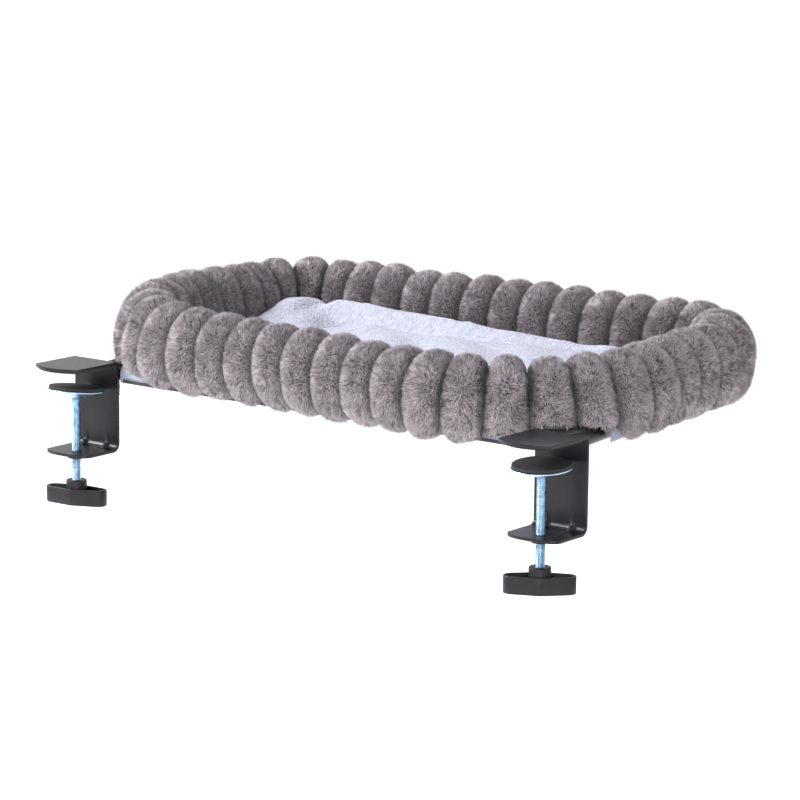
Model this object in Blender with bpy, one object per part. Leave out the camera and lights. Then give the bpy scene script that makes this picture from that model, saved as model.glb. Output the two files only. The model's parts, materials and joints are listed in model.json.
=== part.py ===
"""A pet bed that clamps to the edge of a desk: tube frame, fabric cover, lobed bolster, pad and two screw clamps.

Metres, +Z up. The origin lies on the desk's edge midway between the clamps: X runs along the edge,
+Y away from the desk, and Z = 0 is the desk's top, where the upper jaws rest.
"""

import math

import bmesh
import bpy
from mathutils import Matrix, Vector

# Fits
CLEARANCE = 0.0003
CUT_OVERRUN = 0.004

# Clamp brackets, bent from one strip
CLAMP_SPACING = 0.494
BRACKET_WIDTH = 0.050
BRACKET_HEIGHT = 0.0797
PLATE_THICKNESS = 0.0025
TOP_BEND_RADIUS = 0.003
BOTTOM_BEND_RADIUS = 0.0075
UPPER_JAW_SIDE = 0.0495
UPPER_JAW_NOSE = 0.009
LOWER_JAW_SIDE = 0.0335
LOWER_JAW_NOSE = 0.0105
NOSE_FLAT = 0.003
GUSSET_SPACING = 0.025
GUSSET_WIDTH = 0.005
GUSSET_LEG = 0.0035
BEND_STEPS = 5
NOSE_STEPS = 8

# Jaw pads
JAW_PAD_THICKNESS = 0.0012
JAW_PAD_INSET = 0.0015
JAW_PAD_SETBACK = 0.005

# Clamp screws, their nuts and where they stand
SCREW_RADIUS = 0.004
SCREW_SETBACK = 0.026
SCREW_SHOWN = 0.072
SCREW_TIP_CHAMFER = 0.0008
NUT_FLAT_RADIUS = 0.0065
NUT_HEIGHT = 0.004
JAW_GAP = 0.0165

# Ball ends and pressure discs
BALL_RADIUS = 0.0036
BALL_FLAT_RISE = 0.0022
NECK_RADIUS = 0.0023
DISC_RADIUS = 0.0245
DISC_SHEET = 0.0012
DISC_DISH = 0.0054
DISC_RIM = 0.0035
DISC_CUP_RADIUS = 0.0078
DISC_HOLE_RADIUS = 0.0031
DISC_TILT_LIMIT = math.radians(8)
LEFT_DISC_LEAN = math.radians(-5.4)
RIGHT_DISC_LEAN = math.radians(3.6)
DISC_PAD_THICKNESS = 0.0025
DISC_PAD_MARGIN = 0.0008

# Knobs
KNOB_LENGTH = 0.0577
KNOB_WIDTH = 0.0235
KNOB_TIP_WIDTH = 0.0135
KNOB_TIP_CHAMFER = 0.0035
KNOB_BODY_HEIGHT = 0.0145
KNOB_WALL = 0.002
KNOB_FLOOR = 0.002
KNOB_EDGE_ROUND = 0.0006
HUB_RADIUS = 0.009
HUB_RISE = 0.007
LEFT_KNOB_TURN = math.radians(13)
RIGHT_KNOB_TURN = math.radians(35)

# Tube frame
TUBE_RADIUS = 0.006
TUBE_WALL = 0.0012
FRAME_DROP = 0.006
FRAME_OVERHANG = 0.0045
FRAME_TAPER = 0.038
FRAME_DEPTH = 0.288
FRAME_FRONT_CORNER = 0.0175
FRAME_BACK_CORNER = 0.062
FRAME_JOINT_INSET = 0.047
COUPLER_LENGTH = 0.040
COUPLER_WALL = 0.0014
TUBE_SIDES = 12
FRAME_STEPS = 5

# Saddle clips that hold the tube to the brackets
CLIP_SHEET = 0.0013
CLIP_WIDTH = 0.008
CLIP_INSET = 0.020
CLIP_TAB = 0.014
CLIP_TOP_ANGLE = math.radians(115)
CLIP_BOTTOM_ANGLE = math.radians(-128)
CLIP_SCREW_RADIUS = 0.002
CLIP_SCREW_HEAD_RADIUS = 0.0036
CLIP_SCREW_HEAD_HEIGHT = 0.0022

# Fabric cover and its binding
FABRIC = 0.001
SLEEVE_EASE = 0.0004
COVER_SKIRT = 0.0078
SLEEVE_END_ANGLE = math.radians(150)
FLOOR_RISE = 0.002
FLOOR_START = 0.0094
COVER_CUTOUT_MARGIN = 0.003
COVER_CUTOUT_RETURN = 0.043
BINDING_HEIGHT = 0.003
BINDING_THICKNESS = 0.0008

# Bolster
LOBES = 46
BOLSTER_SIDE_INSET = 0.0035
BOLSTER_FRONT_OVERHANG = 0.0098
BOLSTER_BACK_INSET = 0.0078
BOLSTER_FRONT_CORNER = 0.136
BOLSTER_BACK_CORNER = 0.062
BOLSTER_OFFSET_X = -0.0075
BOLSTER_CENTRE_Z = 0.0222
LOBE_HALF_WIDTH = 0.031
LOBE_HALF_HEIGHT = 0.0395
LOBE_TALLER_LEFT_SHARE = 0.10
LOBE_TALLER_BACK_SHARE = 0.10
CREASE_DEPTH = 0.0065
LOBE_SIDES = 9

# Pad
PAD_EASE = 0.002
PAD_EDGE_HEIGHT = 0.019
PAD_CROWN = 0.007
PAD_ROLL_HEIGHT = 0.013
PAD_ROLL_WIDTH = 0.030
PAD_FOLD_HEIGHT = 0.003
PAD_FOLD_SPACING = 0.085
PAD_EDGE_ROUND = 0.009
PAD_CROWN_REACH = 0.090
PAD_ROLL_LEFT_SHARE = 0.35
PAD_ROLL_BACK_SHARE = 0.7
PAD_RING_SHARES = (1, 0.96, 0.87, 0.75, 0.6, 0.4, 0.2)
PAD_STATIONS = 64

# Levels and places that follow from the sizes
PLATE_BOTTOM_Z = JAW_PAD_THICKNESS + CLEARANCE
PLATE_TOP_Z = PLATE_BOTTOM_Z + PLATE_THICKNESS
LOWER_JAW_BOTTOM_Z = PLATE_TOP_Z - BRACKET_HEIGHT
DISC_TOP_Z = -JAW_GAP - DISC_PAD_THICKNESS - CLEARANCE
BALL_SEAT_RISE = math.sqrt((BALL_RADIUS + CLEARANCE) ** 2 - DISC_HOLE_RADIUS**2)
PIVOT_Z = DISC_TOP_Z - DISC_DISH + BALL_SEAT_RISE
SCREW_TOP_Z = DISC_TOP_Z - DISC_DISH - DISC_SHEET - DISC_CUP_RADIUS * math.sin(DISC_TILT_LIMIT) - CLEARANCE
HUB_TOP_Z = SCREW_TOP_Z - SCREW_SHOWN
KNOB_RIM_Z = HUB_TOP_Z - HUB_RISE
KNOB_BOTTOM_Z = KNOB_RIM_Z - KNOB_BODY_HEIGHT
SCREW_BOTTOM_Z = KNOB_BOTTOM_Z + KNOB_FLOOR + CLEARANCE
TUBE_Y = PLATE_THICKNESS + CLEARANCE + TUBE_RADIUS
TUBE_Z = -FRAME_DROP
FRAME_FRONT_HALF = CLAMP_SPACING / 2 + FRAME_OVERHANG
FRAME_BACK_HALF = FRAME_FRONT_HALF - FRAME_TAPER
BOLSTER_HALF_LENGTH = FRAME_FRONT_HALF - BOLSTER_SIDE_INSET
BOLSTER_FRONT_Y = TUBE_Y - BOLSTER_FRONT_OVERHANG
BOLSTER_BACK_Y = TUBE_Y + FRAME_DEPTH - BOLSTER_BACK_INSET
BOLSTER_CENTRE_Y = (BOLSTER_FRONT_Y + BOLSTER_BACK_Y) / 2
BOLSTER_HALF_DEPTH = (BOLSTER_BACK_Y - BOLSTER_FRONT_Y) / 2
SLEEVE_RADIUS = TUBE_RADIUS + SLEEVE_EASE + FABRIC / 2
COVER_EDGE_X = CLAMP_SPACING / 2 - BRACKET_WIDTH / 2 - COVER_CUTOUT_MARGIN
COVER_CUTOUT_Y = TUBE_Y + COVER_CUTOUT_RETURN
FABRIC_TOP_Z = TUBE_Z + SLEEVE_RADIUS + FABRIC / 2
PAD_BOTTOM_Z = TUBE_Z + FLOOR_RISE + FABRIC / 2 + CLEARANCE
CLAMPS = (
    ("left", -CLAMP_SPACING / 2, LEFT_DISC_LEAN, LEFT_KNOB_TURN),
    ("right", CLAMP_SPACING / 2, RIGHT_DISC_LEAN, RIGHT_KNOB_TURN),
)


def clear_scene():
    for obj in list(bpy.data.objects):
        bpy.data.objects.remove(obj, do_unlink=True)


def material(name, colour, roughness, metallic=0.0):
    """A Principled material with a linear colour."""
    made = bpy.data.materials.new(name)
    made.use_nodes = True
    shader = made.node_tree.nodes["Principled BSDF"]
    shader.inputs["Base Color"].default_value = (*colour, 1.0)
    shader.inputs["Roughness"].default_value = roughness
    shader.inputs["Metallic"].default_value = metallic
    return made


def link(name, mesh, finish, parent=None, smooth=True):
    obj = bpy.data.objects.new(name, mesh)
    bpy.context.scene.collection.objects.link(obj)
    mesh.materials.clear()
    mesh.materials.append(finish)
    obj.parent = parent
    if smooth:
        mesh.shade_smooth()
        mesh.set_sharp_from_angle(angle=math.radians(35))
    return obj


def empty(name, location, turn=(0, 0, 0), parent=None):
    obj = bpy.data.objects.new(name, None)
    obj.location = location
    obj.rotation_euler = turn
    obj.parent = parent
    bpy.context.scene.collection.objects.link(obj)
    return obj


def mesh_of(name, points, faces):
    """A closed mesh with its faces turned outwards."""
    bm = bmesh.new()
    corners = [bm.verts.new(point) for point in points]
    for face in faces:
        bm.faces.new([corners[index] for index in face])
    bmesh.ops.recalc_face_normals(bm, faces=bm.faces)
    mesh = bpy.data.meshes.new(name)
    bm.to_mesh(mesh)
    bm.free()
    return mesh


def lathe(name, profile, sides):
    """A solid of revolution about Z; a profile point at radius zero becomes a pole."""
    points = []
    rings = []
    for radius, z in profile:
        if radius == 0:
            rings.append([len(points)])
            points.append((0, 0, z))
            continue
        first = len(points)
        for step in range(sides):
            angle = 2 * math.pi * step / sides
            points.append((radius * math.cos(angle), radius * math.sin(angle), z))
        rings.append(list(range(first, first + sides)))
    faces = []
    closed_profile = profile[0][0] > 0
    pairs = list(zip(rings, rings[1:] + rings[:1])) if closed_profile else list(zip(rings, rings[1:]))
    for low, high in pairs:
        for step in range(sides):
            after = (step + 1) % sides
            if len(low) == 1:
                faces.append((low[0], high[after], high[step]))
            elif len(high) == 1:
                faces.append((low[step], low[after], high[0]))
            else:
                faces.append((low[step], low[after], high[after], high[step]))
    return mesh_of(name, points, faces)


def prism(name, outline, low, high, axis="Z"):
    """An outline of (a, b) pairs extruded along an axis: a, b are x, y for Z and y, z for X."""
    count = len(outline)
    if axis == "Z":
        points = [(a, b, level) for level in (low, high) for a, b in outline]
    else:
        points = [(level, a, b) for level in (low, high) for a, b in outline]
    faces = [tuple(range(count)), tuple(range(2 * count - 1, count - 1, -1))]
    for step in range(count):
        after = (step + 1) % count
        faces.append((step, after, count + after, count + step))
    return mesh_of(name, points, faces)


def boolean(obj, operation, cutter):
    cutter.hide_render = True
    cutter.display_type = "WIRE"
    modifier = obj.modifiers.new(cutter.name, "BOOLEAN")
    modifier.operation = operation
    modifier.object = cutter
    modifier.solver = "EXACT"
    return obj


def rod_cutter(name, radius, centre, length, axis, finish, sides=24):
    """A round cutter of this length, centred here, along Y or Z."""
    half = length / 2
    cutter = link(name, lathe(name, [(0, -half), (radius, -half), (radius, half), (0, half)], sides), finish)
    cutter.location = centre
    if axis == "Y":
        cutter.rotation_euler = (math.pi / 2, 0, 0)
    return cutter


def arc(centre, radius, start, end, steps):
    """Points on an arc, both ends included."""
    found = []
    for step in range(steps + 1):
        angle = start + (end - start) * step / steps
        found.append((centre[0] + radius * math.cos(angle), centre[1] + radius * math.sin(angle)))
    return found


def fillet(corner, before, after, radius, steps):
    """The arc that rounds one corner of a route, as points in the plane."""
    corner = Vector(corner)
    to_before = (Vector(before) - corner).normalized()
    to_after = (Vector(after) - corner).normalized()
    half = to_before.angle(to_after) / 2
    reach = radius / math.tan(half)
    centre = corner + (to_before + to_after).normalized() * radius / math.sin(half)
    start = corner + to_before * reach - centre
    end = corner + to_after * reach - centre
    sweep = start.angle_signed(end)
    found = []
    for step in range(steps + 1):
        turned = start.copy()
        turned.rotate(Matrix.Rotation(-sweep * step / steps, 2))
        found.append(tuple(centre + turned))
    return found


def rounded_loop(half_length, front_y, back_y, front_corner, back_corner, offset_x=0.0, back_half=None, steps=8):
    """A closed outline with rounded corners, from the middle of the front, anticlockwise from above."""
    back_half = half_length if back_half is None else back_half
    corners = [
        ((offset_x + half_length, front_y), front_corner),
        ((offset_x + back_half, back_y), back_corner),
        ((offset_x - back_half, back_y), back_corner),
        ((offset_x - half_length, front_y), front_corner),
    ]
    found = []
    for index, (corner, radius) in enumerate(corners):
        before = corners[index - 1][0]
        after = corners[(index + 1) % len(corners)][0]
        found += fillet(corner, before, after, radius, steps)
    return found


def outline_normals(outline):
    """The outward normal at each point of a closed anticlockwise outline, long enough to keep widths at corners."""
    found = []
    for index, point in enumerate(outline):
        before = Vector(outline[index - 1])
        after = Vector(outline[(index + 1) % len(outline)])
        incoming = (Vector(point) - before).normalized()
        outgoing = (after - Vector(point)).normalized()
        along = (incoming + outgoing).normalized()
        found.append(Vector((along.y, -along.x)) / along.dot(outgoing))
    return found


def evenly_along(outline, count, phase=0.0):
    """Points spread evenly along a closed outline, with the outward normal at each."""
    loop = [Vector(point) for point in outline]
    lengths = [(loop[(i + 1) % len(loop)] - loop[i]).length for i in range(len(loop))]
    total = sum(lengths)
    found = []
    for step in range(count):
        left = (step + phase) / count * total
        index = 0
        while left > lengths[index]:
            left -= lengths[index]
            index += 1
        start = loop[index]
        end = loop[(index + 1) % len(loop)]
        along = (end - start).normalized()
        found.append((start + along * left, Vector((along.y, -along.x))))
    smooth = []
    for index, (point, _) in enumerate(found):
        along = (found[(index + 1) % count][0] - found[index - 1][0]).normalized()
        smooth.append((point, Vector((along.y, -along.x))))
    return smooth


def pipe(name, route, outer, inner, sides):
    """A hollow round tube along a level route of (x, y) points, centred on the frame's level."""
    points = []
    for index, place in enumerate(route):
        here = Vector(place)
        before = (here - Vector(route[index - 1])).normalized() if index else None
        after = (Vector(route[index + 1]) - here).normalized() if index < len(route) - 1 else None
        along = ((before or after) + (after or before)).normalized()
        widen = 1 / along.dot(after or before)
        side = Vector((along.y, -along.x))
        for radius in (outer, inner):
            for step in range(sides):
                angle = 2 * math.pi * step / sides
                across = side * radius * math.cos(angle) * widen
                points.append((here.x + across.x, here.y + across.y, TUBE_Z + radius * math.sin(angle)))
    ring = 2 * sides
    faces = []
    for index in range(len(route) - 1):
        for shell in (0, sides):
            for step in range(sides):
                a = index * ring + shell + step
                b = index * ring + shell + (step + 1) % sides
                faces.append((a, b, b + ring, a + ring))
    for first in (0, (len(route) - 1) * ring):
        for step in range(sides):
            after = (step + 1) % sides
            faces.append((first + step, first + after, first + sides + after, first + sides + step))
    return mesh_of(name, points, faces)


def jaw_stations(side_end, nose, steps):
    """Places along a jaw from its straight side to its nose, each with the half width there."""
    found = []
    half = BRACKET_WIDTH / 2
    radius = (half**2 + nose**2) / (2 * nose)
    for step in range(steps + 1):
        width = half + (NOSE_FLAT / 2 - half) * (step / steps) ** 1.5
        reach = math.sqrt(radius**2 - width**2) - (radius - nose)
        found.append((side_end + reach, width))
    return found


def lower_jaw_stations(side_end, nose, steps):
    """Places along the lower jaw, whose corners are rounded off and whose front is nearly straight."""
    found = []
    for step in range(steps + 1):
        angle = math.pi / 2 * step / steps
        width = BRACKET_WIDTH / 2 * math.cos(angle) ** 0.8
        found.append((side_end + nose * math.sin(angle) ** 0.9, max(width, NOSE_FLAT / 2)))
    return found


def bracket_stations():
    """The strip's middle line from the upper nose to the lower nose: (y, z, across y, across z, half width)."""
    half = PLATE_THICKNESS / 2
    middle_y = half
    top_z = PLATE_TOP_Z - half
    low_z = LOWER_JAW_BOTTOM_Z + half
    found = []
    for reach, width in reversed(jaw_stations(UPPER_JAW_SIDE, UPPER_JAW_NOSE, NOSE_STEPS)):
        found.append((-reach, top_z, 0, 1, width))
    for radius, centre_z, start in ((TOP_BEND_RADIUS - half, top_z, math.pi / 2), (BOTTOM_BEND_RADIUS - half, low_z, 0)):
        turn_z = centre_z - radius if start else centre_z + radius
        for step in range(BEND_STEPS + 1):
            angle = start - math.pi / 2 * step / BEND_STEPS
            y = middle_y - radius + radius * math.cos(angle)
            z = turn_z + radius * math.sin(angle)
            found.append((y, z, math.cos(angle), math.sin(angle), BRACKET_WIDTH / 2))
    for reach, width in lower_jaw_stations(LOWER_JAW_SIDE, LOWER_JAW_NOSE, NOSE_STEPS):
        found.append((-reach, low_z, 0, -1, width))
    return found


def bracket_mesh(name):
    points = []
    for y, z, across_y, across_z, width in bracket_stations():
        for side, face in ((-1, 1), (1, 1), (1, -1), (-1, -1)):
            offset = face * PLATE_THICKNESS / 2
            points.append((side * width, y + across_y * offset, z + across_z * offset))
    count = len(points) // 4
    faces = [(3, 2, 1, 0), tuple(4 * (count - 1) + corner for corner in range(4))]
    for index in range(count - 1):
        for corner in range(4):
            a = 4 * index + corner
            b = 4 * index + (corner + 1) % 4
            faces.append((a, b, b + 4, a + 4))
    return mesh_of(name, points, faces)


def add_gussets(bracket, side, x, finish):
    """Two ribs pressed into the lower bend, which stiffen it."""
    low = LOWER_JAW_BOTTOM_Z + PLATE_THICKNESS / 2
    back = PLATE_THICKNESS / 2
    reach = BOTTOM_BEND_RADIUS + GUSSET_LEG
    outline = [(back, low), (back, low + reach), (-back, low + reach), (-reach, low + back), (-reach, low)]
    for place in (-1, 1):
        middle = place * GUSSET_SPACING / 2
        name = f"{side}_gusset_{'inner' if place < 0 else 'outer'}"
        rib = link(name, prism(name, outline, middle - GUSSET_WIDTH / 2, middle + GUSSET_WIDTH / 2, "X"), finish)
        rib.location.x = x
        boolean(bracket, "UNION", rib)


def build_bracket(side, x, finish):
    name = f"{side}_clamp_bracket"
    bracket = link(name, bracket_mesh(name), finish)
    bracket.location.x = x
    add_gussets(bracket, side, x, finish)
    hole = SCREW_RADIUS + CLEARANCE
    depth = 2 * (PLATE_THICKNESS + CUT_OVERRUN)
    low = (x, -SCREW_SETBACK, LOWER_JAW_BOTTOM_Z)
    boolean(bracket, "DIFFERENCE", rod_cutter(f"{side}_jaw_hole", hole, low, depth, "Z", finish))
    back = (clip_x(x), PLATE_THICKNESS / 2, clip_screw_z())
    small = CLIP_SCREW_RADIUS + CLEARANCE
    boolean(bracket, "DIFFERENCE", rod_cutter(f"{side}_clip_hole", small, back, depth, "Y", finish, 16))
    return bracket


def build_jaw_pad(side, x, finish):
    """The soft strip stuck under the upper jaw, cut to the jaw's outline."""
    shrink = 1 - 2 * JAW_PAD_INSET / BRACKET_WIDTH
    right = [(width * shrink, JAW_PAD_INSET - reach) for reach, width in jaw_stations(UPPER_JAW_SIDE, UPPER_JAW_NOSE, NOSE_STEPS)]
    back = -JAW_PAD_SETBACK
    outline = [(right[0][0], back)] + right + [(-a, b) for a, b in reversed(right)] + [(-right[0][0], back)]
    name = f"{side}_jaw_pad"
    pad = link(name, prism(name, outline, 0, JAW_PAD_THICKNESS), finish)
    pad.location.x = x
    return pad


def build_nut(side, x, finish):
    """The flat nut welded under the lower jaw, which carries the thread."""
    corner = NUT_FLAT_RADIUS / math.cos(math.pi / 6)
    bore = SCREW_RADIUS + CLEARANCE
    hexagon = arc((0, 0), corner, 0, 5 * math.pi / 3, 5)
    name = f"{side}_thread_nut"
    top = LOWER_JAW_BOTTOM_Z - CLEARANCE
    nut = link(name, prism(name, hexagon, top - NUT_HEIGHT, top), finish)
    nut.location = (x, -SCREW_SETBACK, 0)
    middle = (x, -SCREW_SETBACK, top - NUT_HEIGHT / 2)
    return boolean(nut, "DIFFERENCE", rod_cutter(f"{side}_nut_bore", bore, middle, NUT_HEIGHT + CUT_OVERRUN, "Z", finish))


def build_screw(side, axis, finish):
    name = f"{side}_clamp_screw"
    low = SCREW_BOTTOM_Z
    core = SCREW_RADIUS - SCREW_TIP_CHAMFER
    profile = [
        (0, low),
        (core, low),
        (SCREW_RADIUS, low + SCREW_TIP_CHAMFER),
        (SCREW_RADIUS, SCREW_TOP_Z - SCREW_TIP_CHAMFER),
        (core, SCREW_TOP_Z),
        (0, SCREW_TOP_Z),
    ]
    return link(name, lathe(name, profile, 20), finish, axis)


def build_ball_end(side, axis, finish):
    """The turned end of the screw: a neck and a flat-topped ball, centred on the disc's pivot."""
    name = f"{side}_ball_end"
    low_angle = -math.acos(NECK_RADIUS / BALL_RADIUS)
    high_angle = math.asin(BALL_FLAT_RISE / BALL_RADIUS)
    profile = [(0, SCREW_TOP_Z + CLEARANCE), (NECK_RADIUS, SCREW_TOP_Z + CLEARANCE)]
    profile += arc((0, PIVOT_Z), BALL_RADIUS, low_angle, high_angle, 7)
    profile.append((0, PIVOT_Z + BALL_FLAT_RISE))
    return link(name, lathe(name, profile, 16), finish, axis)


def build_disc(side, lean, finish):
    """The dished pressed disc. Its place is measured from the pivot that it leans on."""
    name = f"{side}_pressure_disc"
    top = DISC_TOP_Z - PIVOT_Z
    flat = DISC_RADIUS - DISC_RIM
    low = top - DISC_DISH
    profile = [
        (DISC_HOLE_RADIUS, low),
        (DISC_CUP_RADIUS - DISC_SHEET, low),
        (flat, top),
        (DISC_RADIUS, top),
        (DISC_RADIUS, top - DISC_SHEET),
        (flat + DISC_SHEET / 4, top - DISC_SHEET),
        (DISC_CUP_RADIUS, low - DISC_SHEET),
        (DISC_HOLE_RADIUS, low - DISC_SHEET),
    ]
    return link(name, lathe(name, profile, 36), finish, lean)


def build_disc_pad(side, lean, finish):
    name = f"{side}_disc_pad"
    low = DISC_TOP_Z - PIVOT_Z + CLEARANCE
    high = low + DISC_PAD_THICKNESS
    radius = DISC_RADIUS - DISC_PAD_MARGIN
    edge = DISC_PAD_MARGIN
    profile = [(0, low), (radius, low), (radius, high - edge), (radius - edge, high), (0, high)]
    return link(name, lathe(name, profile, 36), finish, lean)


def knob_outline(inset):
    """The knob's long six-sided outline with its two ends cut off square, drawn in by an inset."""
    reach = KNOB_LENGTH / 2 - inset
    tip = KNOB_TIP_WIDTH / 2 - inset
    middle = KNOB_WIDTH / 2 - inset
    cut = KNOB_TIP_CHAMFER
    right = [(reach, -tip + cut), (reach, tip - cut), (reach - cut, tip), (0, middle)]
    left = [(-reach + cut, tip), (-reach, tip - cut), (-reach, -tip + cut), (-reach + cut, -tip)]
    return right + left + [(0, -middle), (reach - cut, -tip)]


def build_knob(side, axis, turn, finish):
    """A hollow grip, open above, round a hub that holds the end of the screw."""
    name = f"{side}_knob"
    knob = link(name, prism(name, knob_outline(0), KNOB_BOTTOM_Z, KNOB_RIM_Z), finish, axis)
    knob.rotation_euler.z = turn
    bevel = knob.modifiers.new("edges", "BEVEL")
    bevel.width = KNOB_EDGE_ROUND
    bevel.segments = 1
    bevel.limit_method = "ANGLE"
    floor = KNOB_BOTTOM_Z + KNOB_FLOOR
    hollow_mesh = prism(f"{side}_knob_hollow", knob_outline(KNOB_WALL), floor, KNOB_RIM_Z + CUT_OVERRUN)
    hollow = link(f"{side}_knob_hollow", hollow_mesh, finish, axis)
    hollow.rotation_euler.z = turn
    boolean(knob, "DIFFERENCE", hollow)
    low = KNOB_BOTTOM_Z + KNOB_FLOOR / 2
    edge = KNOB_EDGE_ROUND
    hub_profile = [(0, low), (HUB_RADIUS, low), (HUB_RADIUS, HUB_TOP_Z - edge), (HUB_RADIUS - edge, HUB_TOP_Z), (0, HUB_TOP_Z)]
    hub = link(f"{side}_knob_hub", lathe(f"{side}_knob_hub", hub_profile, 24), finish, axis)
    boolean(knob, "UNION", hub)
    bore = SCREW_RADIUS + CLEARANCE
    bore_profile = [(0, floor), (bore, floor), (bore, HUB_TOP_Z + CUT_OVERRUN), (0, HUB_TOP_Z + CUT_OVERRUN)]
    hole = link(f"{side}_knob_bore", lathe(f"{side}_knob_bore", bore_profile, 20), finish, axis)
    return boolean(knob, "DIFFERENCE", hole)


def clip_x(x):
    """The clip stands towards the inner edge of its bracket, where the tube is still straight."""
    return math.copysign(abs(x) - CLIP_INSET, x)


def clip_screw_z():
    """The height of the clip's screw, in the middle of the flat part of its tab."""
    start = (TUBE_RADIUS + CLEARANCE + CLIP_SHEET) * math.sin(CLIP_BOTTOM_ANGLE)
    return TUBE_Z + start - CLIP_TAB / 2


def build_clip(side, x, finish):
    """A strap that hooks over the tube behind the bracket and runs down to a screwed tab."""
    inner = TUBE_RADIUS + CLEARANCE
    outer = inner + CLIP_SHEET
    centre = (TUBE_Y, TUBE_Z)
    near = PLATE_THICKNESS + CLEARANCE
    over = arc(centre, outer, CLIP_TOP_ANGLE, CLIP_BOTTOM_ANGLE, 10)
    under = arc(centre, inner, CLIP_BOTTOM_ANGLE, CLIP_TOP_ANGLE, 10)
    far = near + CLIP_SHEET
    tab_top = over[-1][1]
    tab_bottom = tab_top - CLIP_TAB
    outline = over + [(far, tab_top), (far, tab_bottom), (near, tab_bottom), (near, tab_top + CLIP_SHEET)] + under
    name = f"{side}_saddle_clip"
    clip = link(name, prism(name, outline, x - CLIP_WIDTH / 2, x + CLIP_WIDTH / 2, "X"), finish)
    hole = CLIP_SCREW_RADIUS + CLEARANCE
    middle = (x, near + CLIP_SHEET / 2, clip_screw_z())
    cutter = rod_cutter(f"{side}_tab_hole", hole, middle, CLIP_SHEET + CUT_OVERRUN, "Y", finish, 16)
    return boolean(clip, "DIFFERENCE", cutter)


def build_clip_screw(side, x, finish):
    """A pan-headed screw through the clip's tab and the bracket, flush with the jaw's side."""
    name = f"{side}_clip_screw"
    seat = PLATE_THICKNESS + 2 * CLEARANCE + CLIP_SHEET
    top = seat + CLIP_SCREW_HEAD_HEIGHT
    edge = CLIP_SCREW_HEAD_RADIUS - CLIP_SCREW_HEAD_HEIGHT / 2
    profile = [
        (0, CLEARANCE),
        (CLIP_SCREW_RADIUS, CLEARANCE),
        (CLIP_SCREW_RADIUS, seat),
        (CLIP_SCREW_HEAD_RADIUS, seat),
        (CLIP_SCREW_HEAD_RADIUS, top - CLIP_SCREW_HEAD_HEIGHT / 2),
        (edge, top),
        (0, top),
    ]
    screw = link(name, lathe(name, profile, 16), finish)
    screw.location = (x, 0, clip_screw_z())
    screw.rotation_euler = (-math.pi / 2, 0, 0)
    return screw


def build_clamp(side, x, lean_angle, knob_turn, finishes):
    build_bracket(side, x, finishes["coat"])
    build_jaw_pad(side, x, finishes["rubber"])
    build_nut(side, x, finishes["coat"])
    build_clip(side, clip_x(x), finishes["coat"])
    build_clip_screw(side, clip_x(x), finishes["zinc"])
    axis = empty(f"{side}_screw_axis", (x, -SCREW_SETBACK, 0))
    pivot = empty(f"{side}_disc_pivot", (0, 0, PIVOT_Z), (lean_angle, 0, 0), axis)
    build_screw(side, axis, finishes["zinc"])
    build_ball_end(side, axis, finishes["zinc"])
    build_knob(side, axis, knob_turn, finishes["plastic"])
    build_disc(side, pivot, finishes["zinc"])
    build_disc_pad(side, pivot, finishes["rubber"])


def frame_corners():
    back = TUBE_Y + FRAME_DEPTH
    return ((FRAME_FRONT_HALF, TUBE_Y), (FRAME_BACK_HALF, back))


def build_frame(finish):
    """A straight rail behind the brackets, and a hoop that meets it behind each one on a coupler."""
    joint = CLAMP_SPACING / 2 - FRAME_JOINT_INSET
    half_gap = CLEARANCE / 2
    inner = TUBE_RADIUS - TUBE_WALL
    rail_end = joint - half_gap
    rail = pipe("front_rail", [(-rail_end, TUBE_Y), (rail_end, TUBE_Y)], TUBE_RADIUS, inner, TUBE_SIDES)
    link("front_rail", rail, finish)
    front, back = frame_corners()
    hoop_end = joint + half_gap
    right = [(hoop_end, TUBE_Y)]
    right += fillet(front, (hoop_end, TUBE_Y), back, FRAME_FRONT_CORNER, FRAME_STEPS)
    right += fillet(back, front, (0, back[1]), FRAME_BACK_CORNER, FRAME_STEPS)
    route = right + [(-a, b) for a, b in reversed(right)]
    link("rear_hoop", pipe("rear_hoop", route, TUBE_RADIUS, inner, TUBE_SIDES), finish)
    core = inner - CLEARANCE
    for side, sign in (("left", -1), ("right", 1)):
        ends = [(sign * joint - COUPLER_LENGTH / 2, TUBE_Y), (sign * joint + COUPLER_LENGTH / 2, TUBE_Y)]
        name = f"{side}_tube_coupler"
        link(name, pipe(name, ends, core, core - COUPLER_WALL, TUBE_SIDES), finish)


def frame_loop(offset=0.0):
    """The frame's centre line as a closed outline, moved outwards by an offset."""
    front, back = frame_corners()
    lean = math.atan2(front[0] - back[0], FRAME_DEPTH)
    half_front = front[0] + offset / math.cos(lean) + offset * math.tan(lean)
    half_back = back[0] + offset / math.cos(lean) - offset * math.tan(lean)
    front_radius = FRAME_FRONT_CORNER + offset
    back_radius = FRAME_BACK_CORNER + offset
    sides = (front[1] - offset, back[1] + offset)
    return rounded_loop(half_front, *sides, front_radius, back_radius, 0.0, half_back, FRAME_STEPS)


def densify(outline, spacing):
    """A closed outline with extra points on its long sides."""
    found = []
    for index, point in enumerate(outline):
        start = Vector(point)
        run = Vector(outline[(index + 1) % len(outline)]) - start
        parts = max(1, round(run.length / spacing))
        found += [tuple(start + run * (step / parts)) for step in range(parts)]
    return found


def in_cutout(point):
    """Whether the cover leaves the tube bare here, behind a bracket and round the corner beside it."""
    x, y = point
    return abs(x) > COVER_EDGE_X - CLEARANCE and y < COVER_CUTOUT_Y + CLEARANCE


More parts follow.
